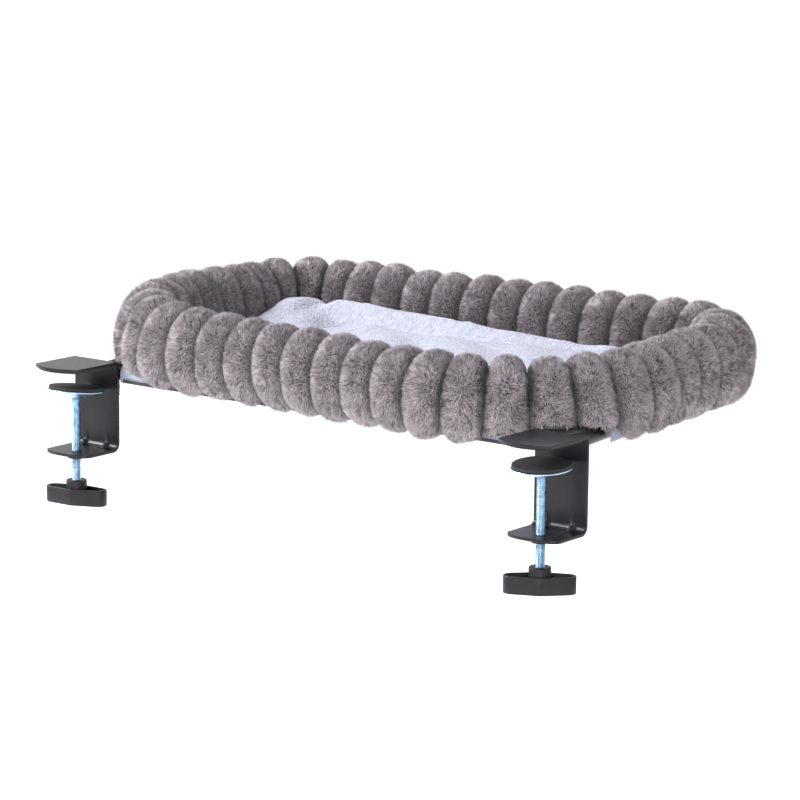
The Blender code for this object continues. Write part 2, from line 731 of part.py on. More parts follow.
def cover_stations():
    """The frame's outline, with a point wherever the cover's sleeve stops."""
    front, back = frame_corners()
    side = front[0] + (back[0] - front[0]) * COVER_CUTOUT_RETURN / FRAME_DEPTH
    turn = FRAME_STEPS + 1
    loop = frame_loop()
    found = [(-COVER_EDGE_X, TUBE_Y), (COVER_EDGE_X, TUBE_Y)] + loop[:turn]
    found += [(side, COVER_CUTOUT_Y)] + loop[turn:-turn] + [(-side, COVER_CUTOUT_Y)] + loop[-turn:]
    return densify(found, FRAME_BACK_CORNER)


def cover_profile():
    """(outwards, z) of the cloth over the tube, from its lower edge outside to the floor inside."""
    over = arc((0, 0), SLEEVE_RADIUS, 0, SLEEVE_END_ANGLE, 5)
    return [(SLEEVE_RADIUS, -COVER_SKIRT)] + over + [(-FLOOR_START, FLOOR_RISE)]


def build_cover(finish):
    """Cloth over the frame: a sleeve over the tube, hemmed level with its underside, and a flat floor inside."""
    stations = cover_stations()
    normals = outline_normals(stations)
    bm = bmesh.new()
    rows = []
    for place, normal in zip(stations, normals):
        row = []
        for out, z in cover_profile():
            row.append(bm.verts.new((place[0] + normal.x * out, place[1] + normal.y * out, TUBE_Z + z)))
        rows.append(row)
    floor_edge = [row[-1] for row in rows]
    bm.faces.new(floor_edge)
    for index, row in enumerate(rows):
        after = rows[(index + 1) % len(rows)]
        if in_cutout(stations[index]) and in_cutout(stations[(index + 1) % len(rows)]):
            continue
        for step in range(len(row) - 1):
            bm.faces.new((row[step], after[step], after[step + 1], row[step + 1]))
    loose = [vert for vert in bm.verts if not vert.link_faces]
    bmesh.ops.delete(bm, geom=loose, context="VERTS")
    bmesh.ops.triangulate(bm, faces=[face for face in bm.faces if len(face.verts) > 4])
    bmesh.ops.recalc_face_normals(bm, faces=bm.faces)
    mesh = bpy.data.meshes.new("bed_cover")
    bm.to_mesh(mesh)
    bm.free()
    cover = link("bed_cover", mesh, finish)
    thicken = cover.modifiers.new("cloth", "SOLIDIFY")
    thicken.thickness = FABRIC
    thicken.offset = 0
    return cover


def build_binding(finish):
    """The dark stitched tape along the front of the sleeve's lower edge."""
    half = COVER_EDGE_X - COVER_CUTOUT_MARGIN
    face = TUBE_Y - SLEEVE_RADIUS - FABRIC / 2 - CLEARANCE
    near = face - BINDING_THICKNESS
    low = TUBE_Z - COVER_SKIRT
    outline = [(near, low), (face, low), (face, low + BINDING_HEIGHT), (near, low + BINDING_HEIGHT)]
    return link("cover_binding", prism("cover_binding", outline, -half, half, "X"), finish)


def bolster_loop(steps, offset=0.0):
    front = BOLSTER_FRONT_Y - offset
    back = BOLSTER_BACK_Y + offset
    half = BOLSTER_HALF_LENGTH + offset
    corners = (BOLSTER_FRONT_CORNER + offset, BOLSTER_BACK_CORNER + offset)
    return rounded_loop(half, front, back, *corners, BOLSTER_OFFSET_X, None, steps)


def lobe_height(place):
    """Half the height of the bolster here: its lobes stand taller at the left and at the back."""
    across = (place.x - BOLSTER_OFFSET_X) / BOLSTER_HALF_LENGTH
    along = (place.y - BOLSTER_CENTRE_Y) / BOLSTER_HALF_DEPTH
    return LOBE_HALF_HEIGHT * (1 - LOBE_TALLER_LEFT_SHARE * across + LOBE_TALLER_BACK_SHARE * along)


def build_bolster(finish):
    """One stuffed ring gathered into lobes, flat underneath where it lies on the covered frame."""
    rings = 3 * LOBES
    points = []
    for index, (place, normal) in enumerate(evenly_along(bolster_loop(16), rings)):
        draw_in = CREASE_DEPTH if index % 3 == 0 else 0.0
        half_width = LOBE_HALF_WIDTH - draw_in
        half_height = lobe_height(place) - draw_in
        for step in range(LOBE_SIDES):
            angle = 2 * math.pi * (step + 0.5) / LOBE_SIDES
            out = half_width * math.cos(angle)
            rise = half_height * math.sin(angle)
            points.append((place.x + normal.x * out, place.y + normal.y * out, BOLSTER_CENTRE_Z + rise))
    faces = []
    for index in range(rings):
        after = (index + 1) % rings
        for step in range(LOBE_SIDES):
            right = (step + 1) % LOBE_SIDES
            here, there = index * LOBE_SIDES, after * LOBE_SIDES
            faces.append((here + step, here + right, there + right, there + step))
    bolster = link("bolster", mesh_of("bolster", points, faces), finish)
    seat = frame_loop(SLEEVE_RADIUS + FABRIC + BINDING_THICKNESS + CLEARANCE)
    low = BOLSTER_CENTRE_Z - 2 * LOBE_HALF_HEIGHT
    cutter = link("bolster_seat", prism("bolster_seat", seat, low, FABRIC_TOP_Z + CLEARANCE), finish)
    return boolean(bolster, "DIFFERENCE", cutter)


def pad_top(x, y, inward):
    """The pad's upper surface: a soft crown, low folds, and a roll pushed up along the far left side."""
    centre_share = min(1, inward / PAD_CROWN_REACH)
    crown = PAD_CROWN * (1 - (1 - centre_share) ** 2)
    left_share = min(1, max(0, PAD_ROLL_LEFT_SHARE - (x - BOLSTER_OFFSET_X) / BOLSTER_HALF_LENGTH))
    back_share = min(1, max(0, PAD_ROLL_BACK_SHARE + (y - BOLSTER_CENTRE_Y) / BOLSTER_HALF_DEPTH))
    roll = PAD_ROLL_HEIGHT * left_share * back_share
    roll *= math.exp(-(((inward - PAD_ROLL_WIDTH / 2) / (PAD_ROLL_WIDTH / 2)) ** 2))
    fold = PAD_FOLD_HEIGHT * math.sin(2 * math.pi * (x + y) / PAD_FOLD_SPACING) * centre_share
    return PAD_BOTTOM_Z + PAD_EDGE_HEIGHT + crown + roll + fold


def build_pad(finish):
    """The loose fleece mat, which fills the ring."""
    start = LOBE_HALF_WIDTH + PAD_EASE
    centre = Vector((BOLSTER_OFFSET_X, BOLSTER_CENTRE_Y))
    edge = [place for place, _ in evenly_along(bolster_loop(12, -start), PAD_STATIONS)]
    shortest = BOLSTER_HALF_DEPTH - start
    points = []
    for share in PAD_RING_SHARES:
        for place in edge:
            here = centre + (place - centre) * share
            drop = PAD_EDGE_ROUND / 2 if share == 1 else 0
            points.append((here.x, here.y, pad_top(here.x, here.y, shortest * (1 - share)) - drop))
    under_share = 1 - PAD_EDGE_ROUND / 2 / shortest
    for place in edge:
        here = centre + (place - centre) * under_share
        points.append((here.x, here.y, PAD_BOTTOM_Z))
    layers = len(PAD_RING_SHARES)
    faces = []
    for layer in range(layers - 1):
        for step in range(PAD_STATIONS):
            after = (step + 1) % PAD_STATIONS
            a, b = layer * PAD_STATIONS, (layer + 1) * PAD_STATIONS
            faces.append((a + step, a + after, b + after, b + step))
    last = layers * PAD_STATIONS
    inner = last - PAD_STATIONS
    top = len(points)
    points.append((centre.x, centre.y, pad_top(centre.x, centre.y, shortest)))
    for step in range(PAD_STATIONS):
        after = (step + 1) % PAD_STATIONS
        faces.append((last + step, last + after, after, step))
        faces.append((inner + step, inner + after, top))
    faces.append(tuple(last + step for step in reversed(range(PAD_STATIONS))))
    return link("fleece_pad", mesh_of("fleece_pad", points, faces), finish)


def main():
    clear_scene()
    finishes = {
        "coat": material("black_powder_coat", (0.022, 0.022, 0.025), 0.45),
        "plastic": material("black_knob_plastic", (0.025, 0.025, 0.027), 0.5),
        "rubber": material("black_foam_rubber", (0.012, 0.012, 0.013), 0.85),
        "zinc": material("bright_zinc", (0.55, 0.62, 0.70), 0.3, 1.0),
        "cloth": material("pale_cover_cloth", (0.56, 0.60, 0.70), 0.9),
        "stitching": material("dark_binding", (0.05, 0.05, 0.06), 0.9),
        "fur": material("grey_fur", (0.21, 0.19, 0.185), 0.95),
        "fleece": material("pale_fleece", (0.66, 0.67, 0.74), 0.95),
    }
    for side, x, lean_angle, knob_turn in CLAMPS:
        build_clamp(side, x, lean_angle, knob_turn, finishes)
    build_frame(finishes["coat"])
    build_cover(finishes["cloth"])
    build_binding(finishes["stitching"])
    build_bolster(finishes["fur"])
    build_pad(finishes["fleece"])


main()
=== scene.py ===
# %% [markdown]
# # A pet bed that clamps to a desk
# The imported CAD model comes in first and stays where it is. Each visible part is then given its finish, or is
# replaced by a fuller piece that stands in the same place and moves with the same body.
# The unit is the metre. X runs along the desk's edge, Y away from the desk, and Z = 0 is the desk's top.

import json
import math

import bmesh
import bpy
import numpy as np
from mathutils import Matrix, Vector, noise


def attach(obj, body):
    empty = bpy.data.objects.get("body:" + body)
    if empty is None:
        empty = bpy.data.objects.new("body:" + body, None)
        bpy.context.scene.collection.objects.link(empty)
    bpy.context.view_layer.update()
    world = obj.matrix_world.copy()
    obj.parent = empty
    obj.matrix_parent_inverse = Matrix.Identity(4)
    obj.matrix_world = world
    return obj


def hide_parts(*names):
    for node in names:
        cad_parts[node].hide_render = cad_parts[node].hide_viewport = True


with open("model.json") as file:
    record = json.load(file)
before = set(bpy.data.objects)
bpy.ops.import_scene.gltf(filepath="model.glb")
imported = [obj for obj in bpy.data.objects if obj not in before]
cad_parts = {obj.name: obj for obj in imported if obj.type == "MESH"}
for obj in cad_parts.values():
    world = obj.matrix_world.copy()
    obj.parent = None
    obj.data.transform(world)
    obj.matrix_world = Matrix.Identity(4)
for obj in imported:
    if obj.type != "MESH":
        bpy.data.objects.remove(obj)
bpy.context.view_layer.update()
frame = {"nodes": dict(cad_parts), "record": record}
MM = 0.001

# %% [markdown]
# ## Helpers for nodes and colours
# A colour is written as it looks on a screen, in sRGB hex, and one function turns it to the linear values that
# shaders use. One more function adds a node to any tree, sets it and links it. The short functions after it are the
# kinds of node that many trees need.


# %% Node and colour helpers
WHITE = (1, 1, 1, 1)


def linear(hex_colour):
    """An sRGB hex colour such as '8A8280' as linear RGBA."""
    channels = [int(hex_colour[i : i + 2], 16) / 255 for i in (0, 2, 4)]
    return (*[c / 12.92 if c <= 0.04045 else ((c + 0.055) / 1.055) ** 2.4 for c in channels], 1.0)


def add(tree, kind, inputs=None, **settings):
    """A node of this kind, with its settings, and its inputs set to a value or linked to a socket."""
    made = tree.nodes.new(kind)
    for name, value in settings.items():
        setattr(made, name, value)
    for name, value in (inputs or {}).items():
        if isinstance(value, bpy.types.NodeSocket):
            tree.links.new(value, made.inputs[name])
        else:
            made.inputs[name].default_value = value
    return made


def calc(tree, operation, a, b=None):
    """The result of a maths node."""
    inputs = {0: a} if b is None else {0: a, 1: b}
    return add(tree, "ShaderNodeMath", inputs, operation=operation).outputs[0]


def vector_calc(tree, operation, a, b=None):
    """The result of a vector maths node; SCALE takes a number as b."""
    inputs = {0: a} if b is None else {0: a, "Scale" if operation == "SCALE" else 1: b}
    return add(tree, "ShaderNodeVectorMath", inputs, operation=operation).outputs[0]


def split(tree, vector):
    return add(tree, "ShaderNodeSeparateXYZ", {0: vector}).outputs


def join(tree, **axes):
    return add(tree, "ShaderNodeCombineXYZ", axes).outputs[0]


def remap(tree, value, low, high, start=0.0, end=1.0):
    """A value that runs from start to end, made to run from low to high."""
    inputs = {"Value": value, "From Min": start, "From Max": end, "To Min": low, "To Max": high}
    return add(tree, "ShaderNodeMapRange", inputs).outputs[0]


def ripple(tree, distance, pitch):
    """A sine wave over a distance in metres."""
    return calc(tree, "SINE", calc(tree, "MULTIPLY", distance, 2 * math.pi / pitch))


def ramp(tree, factor, stops):
    """A colour ramp through (position, hex colour) stops."""
    made = add(tree, "ShaderNodeValToRGB", {"Fac": factor})
    elements = made.color_ramp.elements
    while len(elements) < len(stops):
        elements.new(0.5)
    for element, (position, colour) in zip(elements, stops):
        element.position = position
        element.color = linear(colour)
    return made.outputs["Color"]


def new_material(name, **constants):
    """A material with one Principled shader; returns the material, its tree and the shader."""
    made = bpy.data.materials.new(name)
    made.use_nodes = True
    shader = made.node_tree.nodes["Principled BSDF"]
    for socket, value in constants.items():
        shader.inputs[socket.replace("_", " ")].default_value = value
    return made, made.node_tree, shader


def paint(tree, shader, factor, dark, pale, start=0.3, end=0.7):
    """The shader's colour, from dark to pale as the factor runs from start to end."""
    tree.links.new(ramp(tree, factor, ((start, dark), (end, pale))), shader.inputs["Base Color"])


def object_place(tree):
    return add(tree, "ShaderNodeTexCoord").outputs["Object"]


def grain(tree, place, size, detail=2.0):
    """Noise whose grains are about this many metres across."""
    settings = {"Vector": place, "Scale": 1 / size, "Detail": detail, "Roughness": 0.5}
    return add(tree, "ShaderNodeTexNoise", settings).outputs["Fac"]


def cells(tree, place, size):
    """How far each place lies from the middle of its cell, for cells about this many metres across."""
    return add(tree, "ShaderNodeTexVoronoi", {"Vector": place, "Scale": 1 / size}).outputs["Distance"]


def bump(tree, shader, height, depth):
    """Bump of this depth in metres, from a height between 0 and 1."""
    made = add(tree, "ShaderNodeBump", {"Height": height, "Distance": depth, "Strength": 1.0})
    tree.links.new(made.outputs["Normal"], shader.inputs["Normal"])


print("grey fur, linear:", [round(v, 3) for v in linear("8A8280")[:3]])

# %% [markdown]
# ## Camera, light and backdrop
# The two clamps are equal, so their corners in the photograph give the camera: a long lens, 2.7 m away, 37 degrees
# round to the right and 11 degrees above. Broad soft lamps and a plain white surround give the studio light.

# %% Camera
CAMERA_PLACE = (1.6424, -2.0408, 0.5064)
CAMERA_YAW = math.radians(37.30)
CAMERA_PITCH = math.radians(10.96)
CAMERA_ROLL = math.radians(0.61)
FOCAL_PIXELS = 3217
PHOTO_PIXELS = 800
SENSOR = 36

camera_data = bpy.data.cameras.new("camera")
camera_data.sensor_width = SENSOR
camera_data.lens = FOCAL_PIXELS / PHOTO_PIXELS * SENSOR
camera_data.clip_end = 60
camera = bpy.data.objects.new("camera", camera_data)
ahead = Vector((
    -math.sin(CAMERA_YAW) * math.cos(CAMERA_PITCH),
    math.cos(CAMERA_YAW) * math.cos(CAMERA_PITCH),
    -math.sin(CAMERA_PITCH),
))
level_right = Vector((math.cos(CAMERA_YAW), math.sin(CAMERA_YAW), 0))
level_up = level_right.cross(ahead)
right = level_right * math.cos(CAMERA_ROLL) + level_up * math.sin(CAMERA_ROLL)
up = level_up * math.cos(CAMERA_ROLL) - level_right * math.sin(CAMERA_ROLL)
turn = Matrix((right, up, -ahead)).transposed().to_4x4()
camera.matrix_world = Matrix.Translation(CAMERA_PLACE) @ turn
bpy.context.scene.collection.objects.link(camera)
bpy.context.scene.camera = camera
bpy.context.scene.view_settings.view_transform = "Standard"
print("lens:", round(camera_data.lens, 1), "mm")

# %% Light
WORLD_LIGHT = 0.5
LAMP_AIM = Vector((0, 0.15, 0))
LAMPS = (
    ("key", (-2.4, -1.7, 1.85), 1.6, 185),
    ("fill", (1.8, -2.6, 0.7), 2.0, 38),
    ("top", (-0.4, 0.5, 2.6), 1.8, 30),
    ("back", (-1.2, 2.6, 1.4), 1.8, 12),
)


def white_to_camera(tree):
    """Plain white as the camera, gloss and glass see it, and studio light for everything else."""
    path = add(tree, "ShaderNodeLightPath").outputs
    seen = calc(tree, "MAXIMUM", path["Is Camera Ray"], path["Is Glossy Ray"])
    seen = calc(tree, "MAXIMUM", seen, path["Is Transmission Ray"])
    white = add(tree, "ShaderNodeBackground", {"Color": WHITE, "Strength": 1.0})
    light = add(tree, "ShaderNodeBackground", {"Color": WHITE, "Strength": WORLD_LIGHT})
    return add(tree, "ShaderNodeMixShader", {0: seen, 1: light.outputs[0], 2: white.outputs[0]}).outputs[0]


world = bpy.data.worlds.new("studio")
world.use_nodes = True
world.node_tree.nodes.clear()
add(world.node_tree, "ShaderNodeOutputWorld", {"Surface": white_to_camera(world.node_tree)})
bpy.context.scene.world = world

for lamp_name, lamp_place, lamp_size, lamp_power in LAMPS:
    lamp_data = bpy.data.lights.new(lamp_name, "AREA")
    lamp_data.shape = "DISK"
    lamp_data.size = lamp_size
    lamp_data.energy = lamp_power
    lamp = bpy.data.objects.new(lamp_name, lamp_data)
    lamp.location = lamp_place
    lamp.rotation_euler = (LAMP_AIM - Vector(lamp_place)).to_track_quat("-Z", "Y").to_euler()
    bpy.context.scene.collection.objects.link(lamp)
print("lamps:", len(LAMPS))

# %% Floor
FLOOR_Z = -0.72
FLOOR_HALF = 15
FLOOR_GLOW = 0.62

floor_mesh = bpy.data.meshes.new("floor")
floor_corners = [(x * FLOOR_HALF, y * FLOOR_HALF, FLOOR_Z) for x, y in ((-1, -1), (1, -1), (1, 1), (-1, 1))]
floor_mesh.from_pydata(floor_corners, [], [(0, 1, 2, 3)])
floor = bpy.data.objects.new("floor", floor_mesh)
bpy.context.scene.collection.objects.link(floor)
floor_finish, floor_tree, floor_shader = new_material("white_studio_floor", Roughness=1.0)
floor_shader.inputs["Base Color"].default_value = linear("E6E6E6")
floor_shader.inputs["Emission Color"].default_value = WHITE
floor_shader.inputs["Emission Strength"].default_value = FLOOR_GLOW
floor_mesh.materials.append(floor_finish)
print("floor at", FLOOR_Z, "m, a desk's height below the bed")

# %% [markdown]
# ## Finishes of the hard parts
# The brackets and the tube are sprayed with powder coat, which cures with a fine orange-peel skin. The screws, discs
# and small screws are zinc plated and passivated blue-white. The knobs are moulded plastic, the pads foam rubber.


# %% Hard finishes
def powder_coat():
    """Black epoxy powder coat: a satin skin with an orange peel about 0.9 mm across."""
    made, tree, shader = new_material("black_powder_coat", Specular_IOR_Level=0.32)
    place = object_place(tree)
    peel = grain(tree, place, 0.9 * MM, 3)
    paint(tree, shader, grain(tree, place, 30 * MM), "100E13", "1A181E")
    bump(tree, shader, peel, 0.06 * MM)
    tree.links.new(remap(tree, peel, 0.26, 0.42), shader.inputs["Roughness"])
    return made


def zinc_plate():
    """Bright zinc with a blue-white passivation, a little cloudy."""
    made, tree, shader = new_material("blue_white_zinc", Metallic=1.0)
    place = object_place(tree)
    cloud = grain(tree, place, 4 * MM, 3)
    paint(tree, shader, cloud, "93B3CE", "C8DFED")
    tree.links.new(remap(tree, cloud, 0.22, 0.4), shader.inputs["Roughness"])
    bump(tree, shader, grain(tree, place, 0.6 * MM), 0.02 * MM)
    return made


def knob_plastic():
    """Moulded black nylon with a spark-eroded texture about 0.5 mm across."""
    made, tree, shader = new_material("black_moulded_nylon", Roughness=0.45, Specular_IOR_Level=0.3)
    place = object_place(tree)
    paint(tree, shader, grain(tree, place, 12 * MM), "151317", "1E1C21")
    bump(tree, shader, grain(tree, place, 0.5 * MM, 3), 0.05 * MM)
    return made


def foam_rubber():
    """Closed-cell rubber: matt, with cells about 0.6 mm across."""
    made, tree, shader = new_material("black_cell_rubber", Roughness=0.85)
    foam = cells(tree, object_place(tree), 0.6 * MM)
    paint(tree, shader, foam, "17161A", "29272C", 0.0, 0.8)
    bump(tree, shader, foam, 0.06 * MM)
    return made


COAT = powder_coat()
ZINC = zinc_plate()
PLASTIC = knob_plastic()
RUBBER = foam_rubber()
SLOT_FINISH = {"coat": COAT, "zinc": ZINC, "plastic": PLASTIC, "rubber": RUBBER}
for entry in frame["record"]["subparts"]:
    finish = SLOT_FINISH.get(entry["material_slot"])
    node_object = frame["nodes"].get(entry["node"])
    if finish and node_object:
        for material_slot in node_object.material_slots:
            material_slot.material = finish
print("hard finishes:", sorted(SLOT_FINISH))

# %% [markdown]
# ## Making a piece
# Every new piece is a mesh at the origin. It rides on a body, takes a finish, and may replace
# the CAD nodes that it stands for.


# %% Piece helpers
def soften(mesh, angle):
    """Smooth faces, but a sharp edge where two meet at more than this angle in degrees."""
    mesh.shade_smooth()
    mesh.set_sharp_from_angle(angle=math.radians(angle))


def piece(name, mesh, finish, body, replaced=(), smooth=40):
    """A new object for this mesh that rides on a body and replaces CAD nodes."""
    made = bpy.data.objects.new(name, mesh)
    bpy.context.scene.collection.objects.link(made)
    if finish is not None:
        mesh.materials.clear()
        mesh.materials.append(finish)
    if smooth:
        soften(mesh, smooth)
    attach(made, body)
    if replaced:
        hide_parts(*replaced)
    return made


def modify(obj, name, kind, **settings):
    """A modifier on the object, with its settings."""
    made = obj.modifiers.new(name, kind)
    for setting, value in settings.items():
        setattr(made, setting, value)


def evaluated_mesh(obj):
    """The object's shape with its modifiers, as a plain mesh."""
    depsgraph = bpy.context.evaluated_depsgraph_get()
    shape = obj.evaluated_get(depsgraph)
    return bpy.data.meshes.new_from_object(shape, preserve_all_data_layers=True, depsgraph=depsgraph)


def finish_modifiers(obj):
    """Give the object its evaluated shape as its own mesh, with no modifiers left."""
    made = evaluated_mesh(obj)
    obj.modifiers.clear()
    obj.data = made


def closed_mesh(name, points, faces):
    """A mesh with its faces turned outwards, without doubles and the faces that a pole flattens to a line."""
    bm = bmesh.new()
    verts = [bm.verts.new(p) for p in points]
    for face in faces:
        bm.faces.new([verts[i] for i in face])
    bmesh.ops.remove_doubles(bm, verts=bm.verts, dist=1e-6)
    bmesh.ops.dissolve_degenerate(bm, edges=bm.edges, dist=1e-6)
    bmesh.ops.recalc_face_normals(bm, faces=bm.faces)
    mesh = bpy.data.meshes.new(name)
    bm.to_mesh(mesh)
    bm.free()
    return mesh


def face_outwards(mesh):
    """Drop a mesh's loose points and turn its faces outwards; returns its area."""
    bm = bmesh.new()
    bm.from_mesh(mesh)
    bmesh.ops.delete(bm, geom=[v for v in bm.verts if not v.link_faces], context="VERTS")
    bmesh.ops.recalc_face_normals(bm, faces=bm.faces)
    bm.to_mesh(mesh)
    area = sum(face.calc_area() for face in bm.faces)
    bm.free()
    return area


def stack_faces(rings, count, first=0, wrapped=False):
    """The faces between the rings of a stack, with this many points each; wrapped joins the last to the first."""
    faces = []
    for ring in range(rings if wrapped else rings - 1):
        a, b = first + ring * count, first + (ring + 1) % rings * count
        for step in range(count):
            after = (step + 1) % count
            faces.append((a + step, a + after, b + after, b + step))
    return faces


def end_faces(rings, count):
    """One face over the first ring of a stack and one over the last."""
    return [tuple(range(count)), tuple(range((rings - 1) * count, rings * count))]


def turned_points(profile, sides):
    """A profile of (radius, z) turned about Z, ring by ring."""
    angles = [2 * math.pi * step / sides for step in range(sides)]
    return [Vector((radius * math.cos(a), radius * math.sin(a), z)) for radius, z in profile for a in angles]


def lathe_mesh(name, profile, move, sides=96):
    """A profile turned about Z and moved; it is a closed ring, unless it ends on the axis."""
    wrapped = profile[0][0] > 0 and profile[-1][0] > 0
    faces = stack_faces(len(profile), sides, wrapped=wrapped)
    return closed_mesh(name, [move @ p for p in turned_points(profile, sides)], faces)


def round_corner(centre, radius, start, end, steps):
    """Points on an arc in a (radius, z) profile; angles in degrees."""
    angles = [math.radians(start + (end - start) * step / steps) for step in range(steps + 1)]
    return [(centre[0] + radius * math.cos(a), centre[1] + radius * math.sin(a)) for a in angles]


def side_way(line, index, closed=False):
    """The unit way to the right of a line of flat points, at one of them."""
    before = line[index - 1 if closed else max(index - 1, 0)]
    after = line[(index + 1) % len(line) if closed else min(index + 1, len(line) - 1)]
    along = Vector((after[0] - before[0], after[1] - before[1])).normalized()
    return Vector((along.y, -along.x))


print("helpers ready")

# %% [markdown]
# ## Sizes shared with the CAD
# These repeat the CAD's own values, in metres, so that each new piece sits exactly where the solid does.

# %% Sizes
CLAMP_X = 0.247
SCREW_Y = -0.026
PLATE = 0.0025
PLATE_TOP_Z = 0.004
BRACKET_BOTTOM_Z = PLATE_TOP_Z - 0.0797
DISC_TOP_Z = -0.0193
DISC_DISH = 0.0054
PIVOT_Z = DISC_TOP_Z - DISC_DISH + 0.002366
SCREW_TOP_Z = -0.0273
HUB_TOP_Z = SCREW_TOP_Z - 0.072
KNOB_RIM_Z = HUB_TOP_Z - 0.007
KNOB_BOTTOM_Z = KNOB_RIM_Z - 0.0145
TUBE_Y = 0.0088
TUBE_Z = -0.006
TUBE_RADIUS = 0.006
SIDES = (("left", -1, -5.4, 13), ("right", 1, 3.6, 35))
print("screw shows", round((SCREW_TOP_Z - HUB_TOP_Z) / MM, 1), "mm of thread")

# %% [markdown]
# ## Clamp brackets
# On the real bed each bracket is one strip of 2.5 mm steel, cut to a rounded nose at both ends and bent twice. So
# the piece is a thin sheet that follows the bent line, thickened by Solidify, with its cut edges eased by Bevel. Two
# ribs are pressed into the lower bend.

# %% Clamp brackets
BRACKET_HALF = 0.025
TOP_BEND = 0.003
LOW_BEND = 0.0075
UPPER_SIDE, UPPER_NOSE = 0.0495, 0.009
LOWER_SIDE, LOWER_NOSE = 0.0335, 0.0105
NOSE_FLAT = 0.0015
RIB_AT = (-0.0125, 0.0125)
RIB_HALF = 0.0032
RIB_DEPTH = 0.0026
RIB_FOOT = 0.4
RIB_FADE = 0.006


def strip_line():
    """The strip's middle line as (y, z, half width, rib share), from the upper nose to the lower nose."""
    half = PLATE / 2
    top, low = PLATE_TOP_Z - half, BRACKET_BOTTOM_Z + half
    found = []
    radius = (BRACKET_HALF**2 + UPPER_NOSE**2) / (2 * UPPER_NOSE)
    for step in range(25):
        width = NOSE_FLAT + (BRACKET_HALF - NOSE_FLAT) * (1 - (1 - step / 24) ** 1.5)
        reach = UPPER_SIDE + math.sqrt(radius**2 - width**2) - (radius - UPPER_NOSE)
        found.append((-reach, top, width, 0))
    for step in range(1, 12):
        found.append((-UPPER_SIDE * (1 - step / 12) - TOP_BEND * step / 12, top, BRACKET_HALF, 0))
    bend = TOP_BEND - half
    for y, z in round_corner((half - bend, top - bend), bend, 90, 0, 8):
        found.append((y, z, BRACKET_HALF, 0))
    straight_top, straight_low = top - TOP_BEND, low + LOW_BEND
    for step in range(1, 24):
        z = straight_top + (straight_low - straight_top) * step / 24
        found.append((half, z, BRACKET_HALF, max(0, 1 - abs(z - straight_low) / RIB_FADE) * RIB_FOOT))
    bend = LOW_BEND - half
    for step, (y, z) in enumerate(round_corner((half - bend, low + bend), bend, 0, -90, 12)):
        found.append((y, z, BRACKET_HALF, RIB_FOOT + (1 - RIB_FOOT) * math.sin(math.pi * step / 12)))
    for step in range(1, 9):
        y = -(LOW_BEND - half) - (LOWER_SIDE - LOW_BEND) * step / 9
        found.append((y, low, BRACKET_HALF, max(0, 1 - step / 3) * RIB_FOOT))
    for step in range(25):
        angle = math.pi / 2 * step / 24
        width = max(BRACKET_HALF * math.cos(angle) ** 0.8, NOSE_FLAT)
        found.append((-(LOWER_SIDE + LOWER_NOSE * math.sin(angle) ** 0.9), low, width, 0))
    return found


def bracket_mesh(name, x, across=40):
    """The bent strip as a thin sheet, this many faces wide, with its ribs pressed in."""
    line = strip_line()
    points, faces = [], []
    for index, (y, z, width, share) in enumerate(line):
        inward = side_way(line, index)
        for step in range(across + 1):
            w = width * (2 * step / across - 1)
            rib = max((math.cos(min(abs(w - at) / RIB_HALF, 1) * math.pi) + 1) / 2 for at in RIB_AT)
            push = RIB_DEPTH * share * rib
            points.append((x + w, y + inward.x * push, z + inward.y * push))
    for index in range(len(line) - 1):
        for step in range(across):
            a = index * (across + 1) + step
            b = a + across + 1
            faces.append((a, b, b + 1, a + 1))
    mesh = bpy.data.meshes.new(name)
    mesh.from_pydata(points, [], faces)
    return mesh


for side, sign, _, _ in SIDES:
    sheet_mesh = bracket_mesh(f"{side}_bracket", sign * CLAMP_X)
    bracket = piece(f"{side}_bracket_plate", sheet_mesh, COAT, "bed", [f"{side}_clamp_bracket"], 0)
    modify(bracket, "plate", "SOLIDIFY", thickness=PLATE, offset=0, use_even_offset=True)
    eased = {"width": 0.5 * MM, "segments": 2, "limit_method": "ANGLE", "angle_limit": math.radians(50)}
    modify(bracket, "eased_edges", "BEVEL", **eased)
    finish_modifiers(bracket)
    soften(bracket.data, 50)
    print(bracket.name, len(bracket.data.polygons), "faces")

# %% [markdown]
# ## Screws
# The screws are M8 with the coarse pitch of 1.25 mm. A thread repeats, so Geometry Nodes make it: a finely divided
# cylinder whose radius rises and falls with the height and the angle, which is what a helix is.


# %% Screw threads
THREAD_SIZES = {"Radius": 4 * MM, "Pitch": 1.25 * MM, "Depth": 0.72 * MM, "Finish": ZINC}
SCREW_LOW_Z = KNOB_BOTTOM_Z + 0.0023
SCREW_LENGTH = SCREW_TOP_Z - SCREW_LOW_Z


def new_tree(name, **sockets):
    """A Geometry Nodes tree with a geometry output and named inputs of these types; returns it and its inputs."""
    tree = bpy.data.node_groups.new(name, "GeometryNodeTree")
    tree.interface.new_socket("Geometry", in_out="OUTPUT", socket_type="NodeSocketGeometry")
    for kind, names in sockets.items():
        for socket_name in names:
            tree.interface.new_socket(socket_name, in_out="INPUT", socket_type=f"NodeSocket{kind}")
    return tree, add(tree, "NodeGroupInput").outputs


def end_tree(tree, geometry, finish):
    """Give the tree's result out as one plain mesh with this finish."""
    whole = add(tree, "GeometryNodeRealizeInstances", {"Geometry": geometry}).outputs[0]
    coated = add(tree, "GeometryNodeSetMaterial", {"Geometry": whole, "Material": finish}).outputs[0]
    add(tree, "NodeGroupOutput", {"Geometry": coated})
    return tree


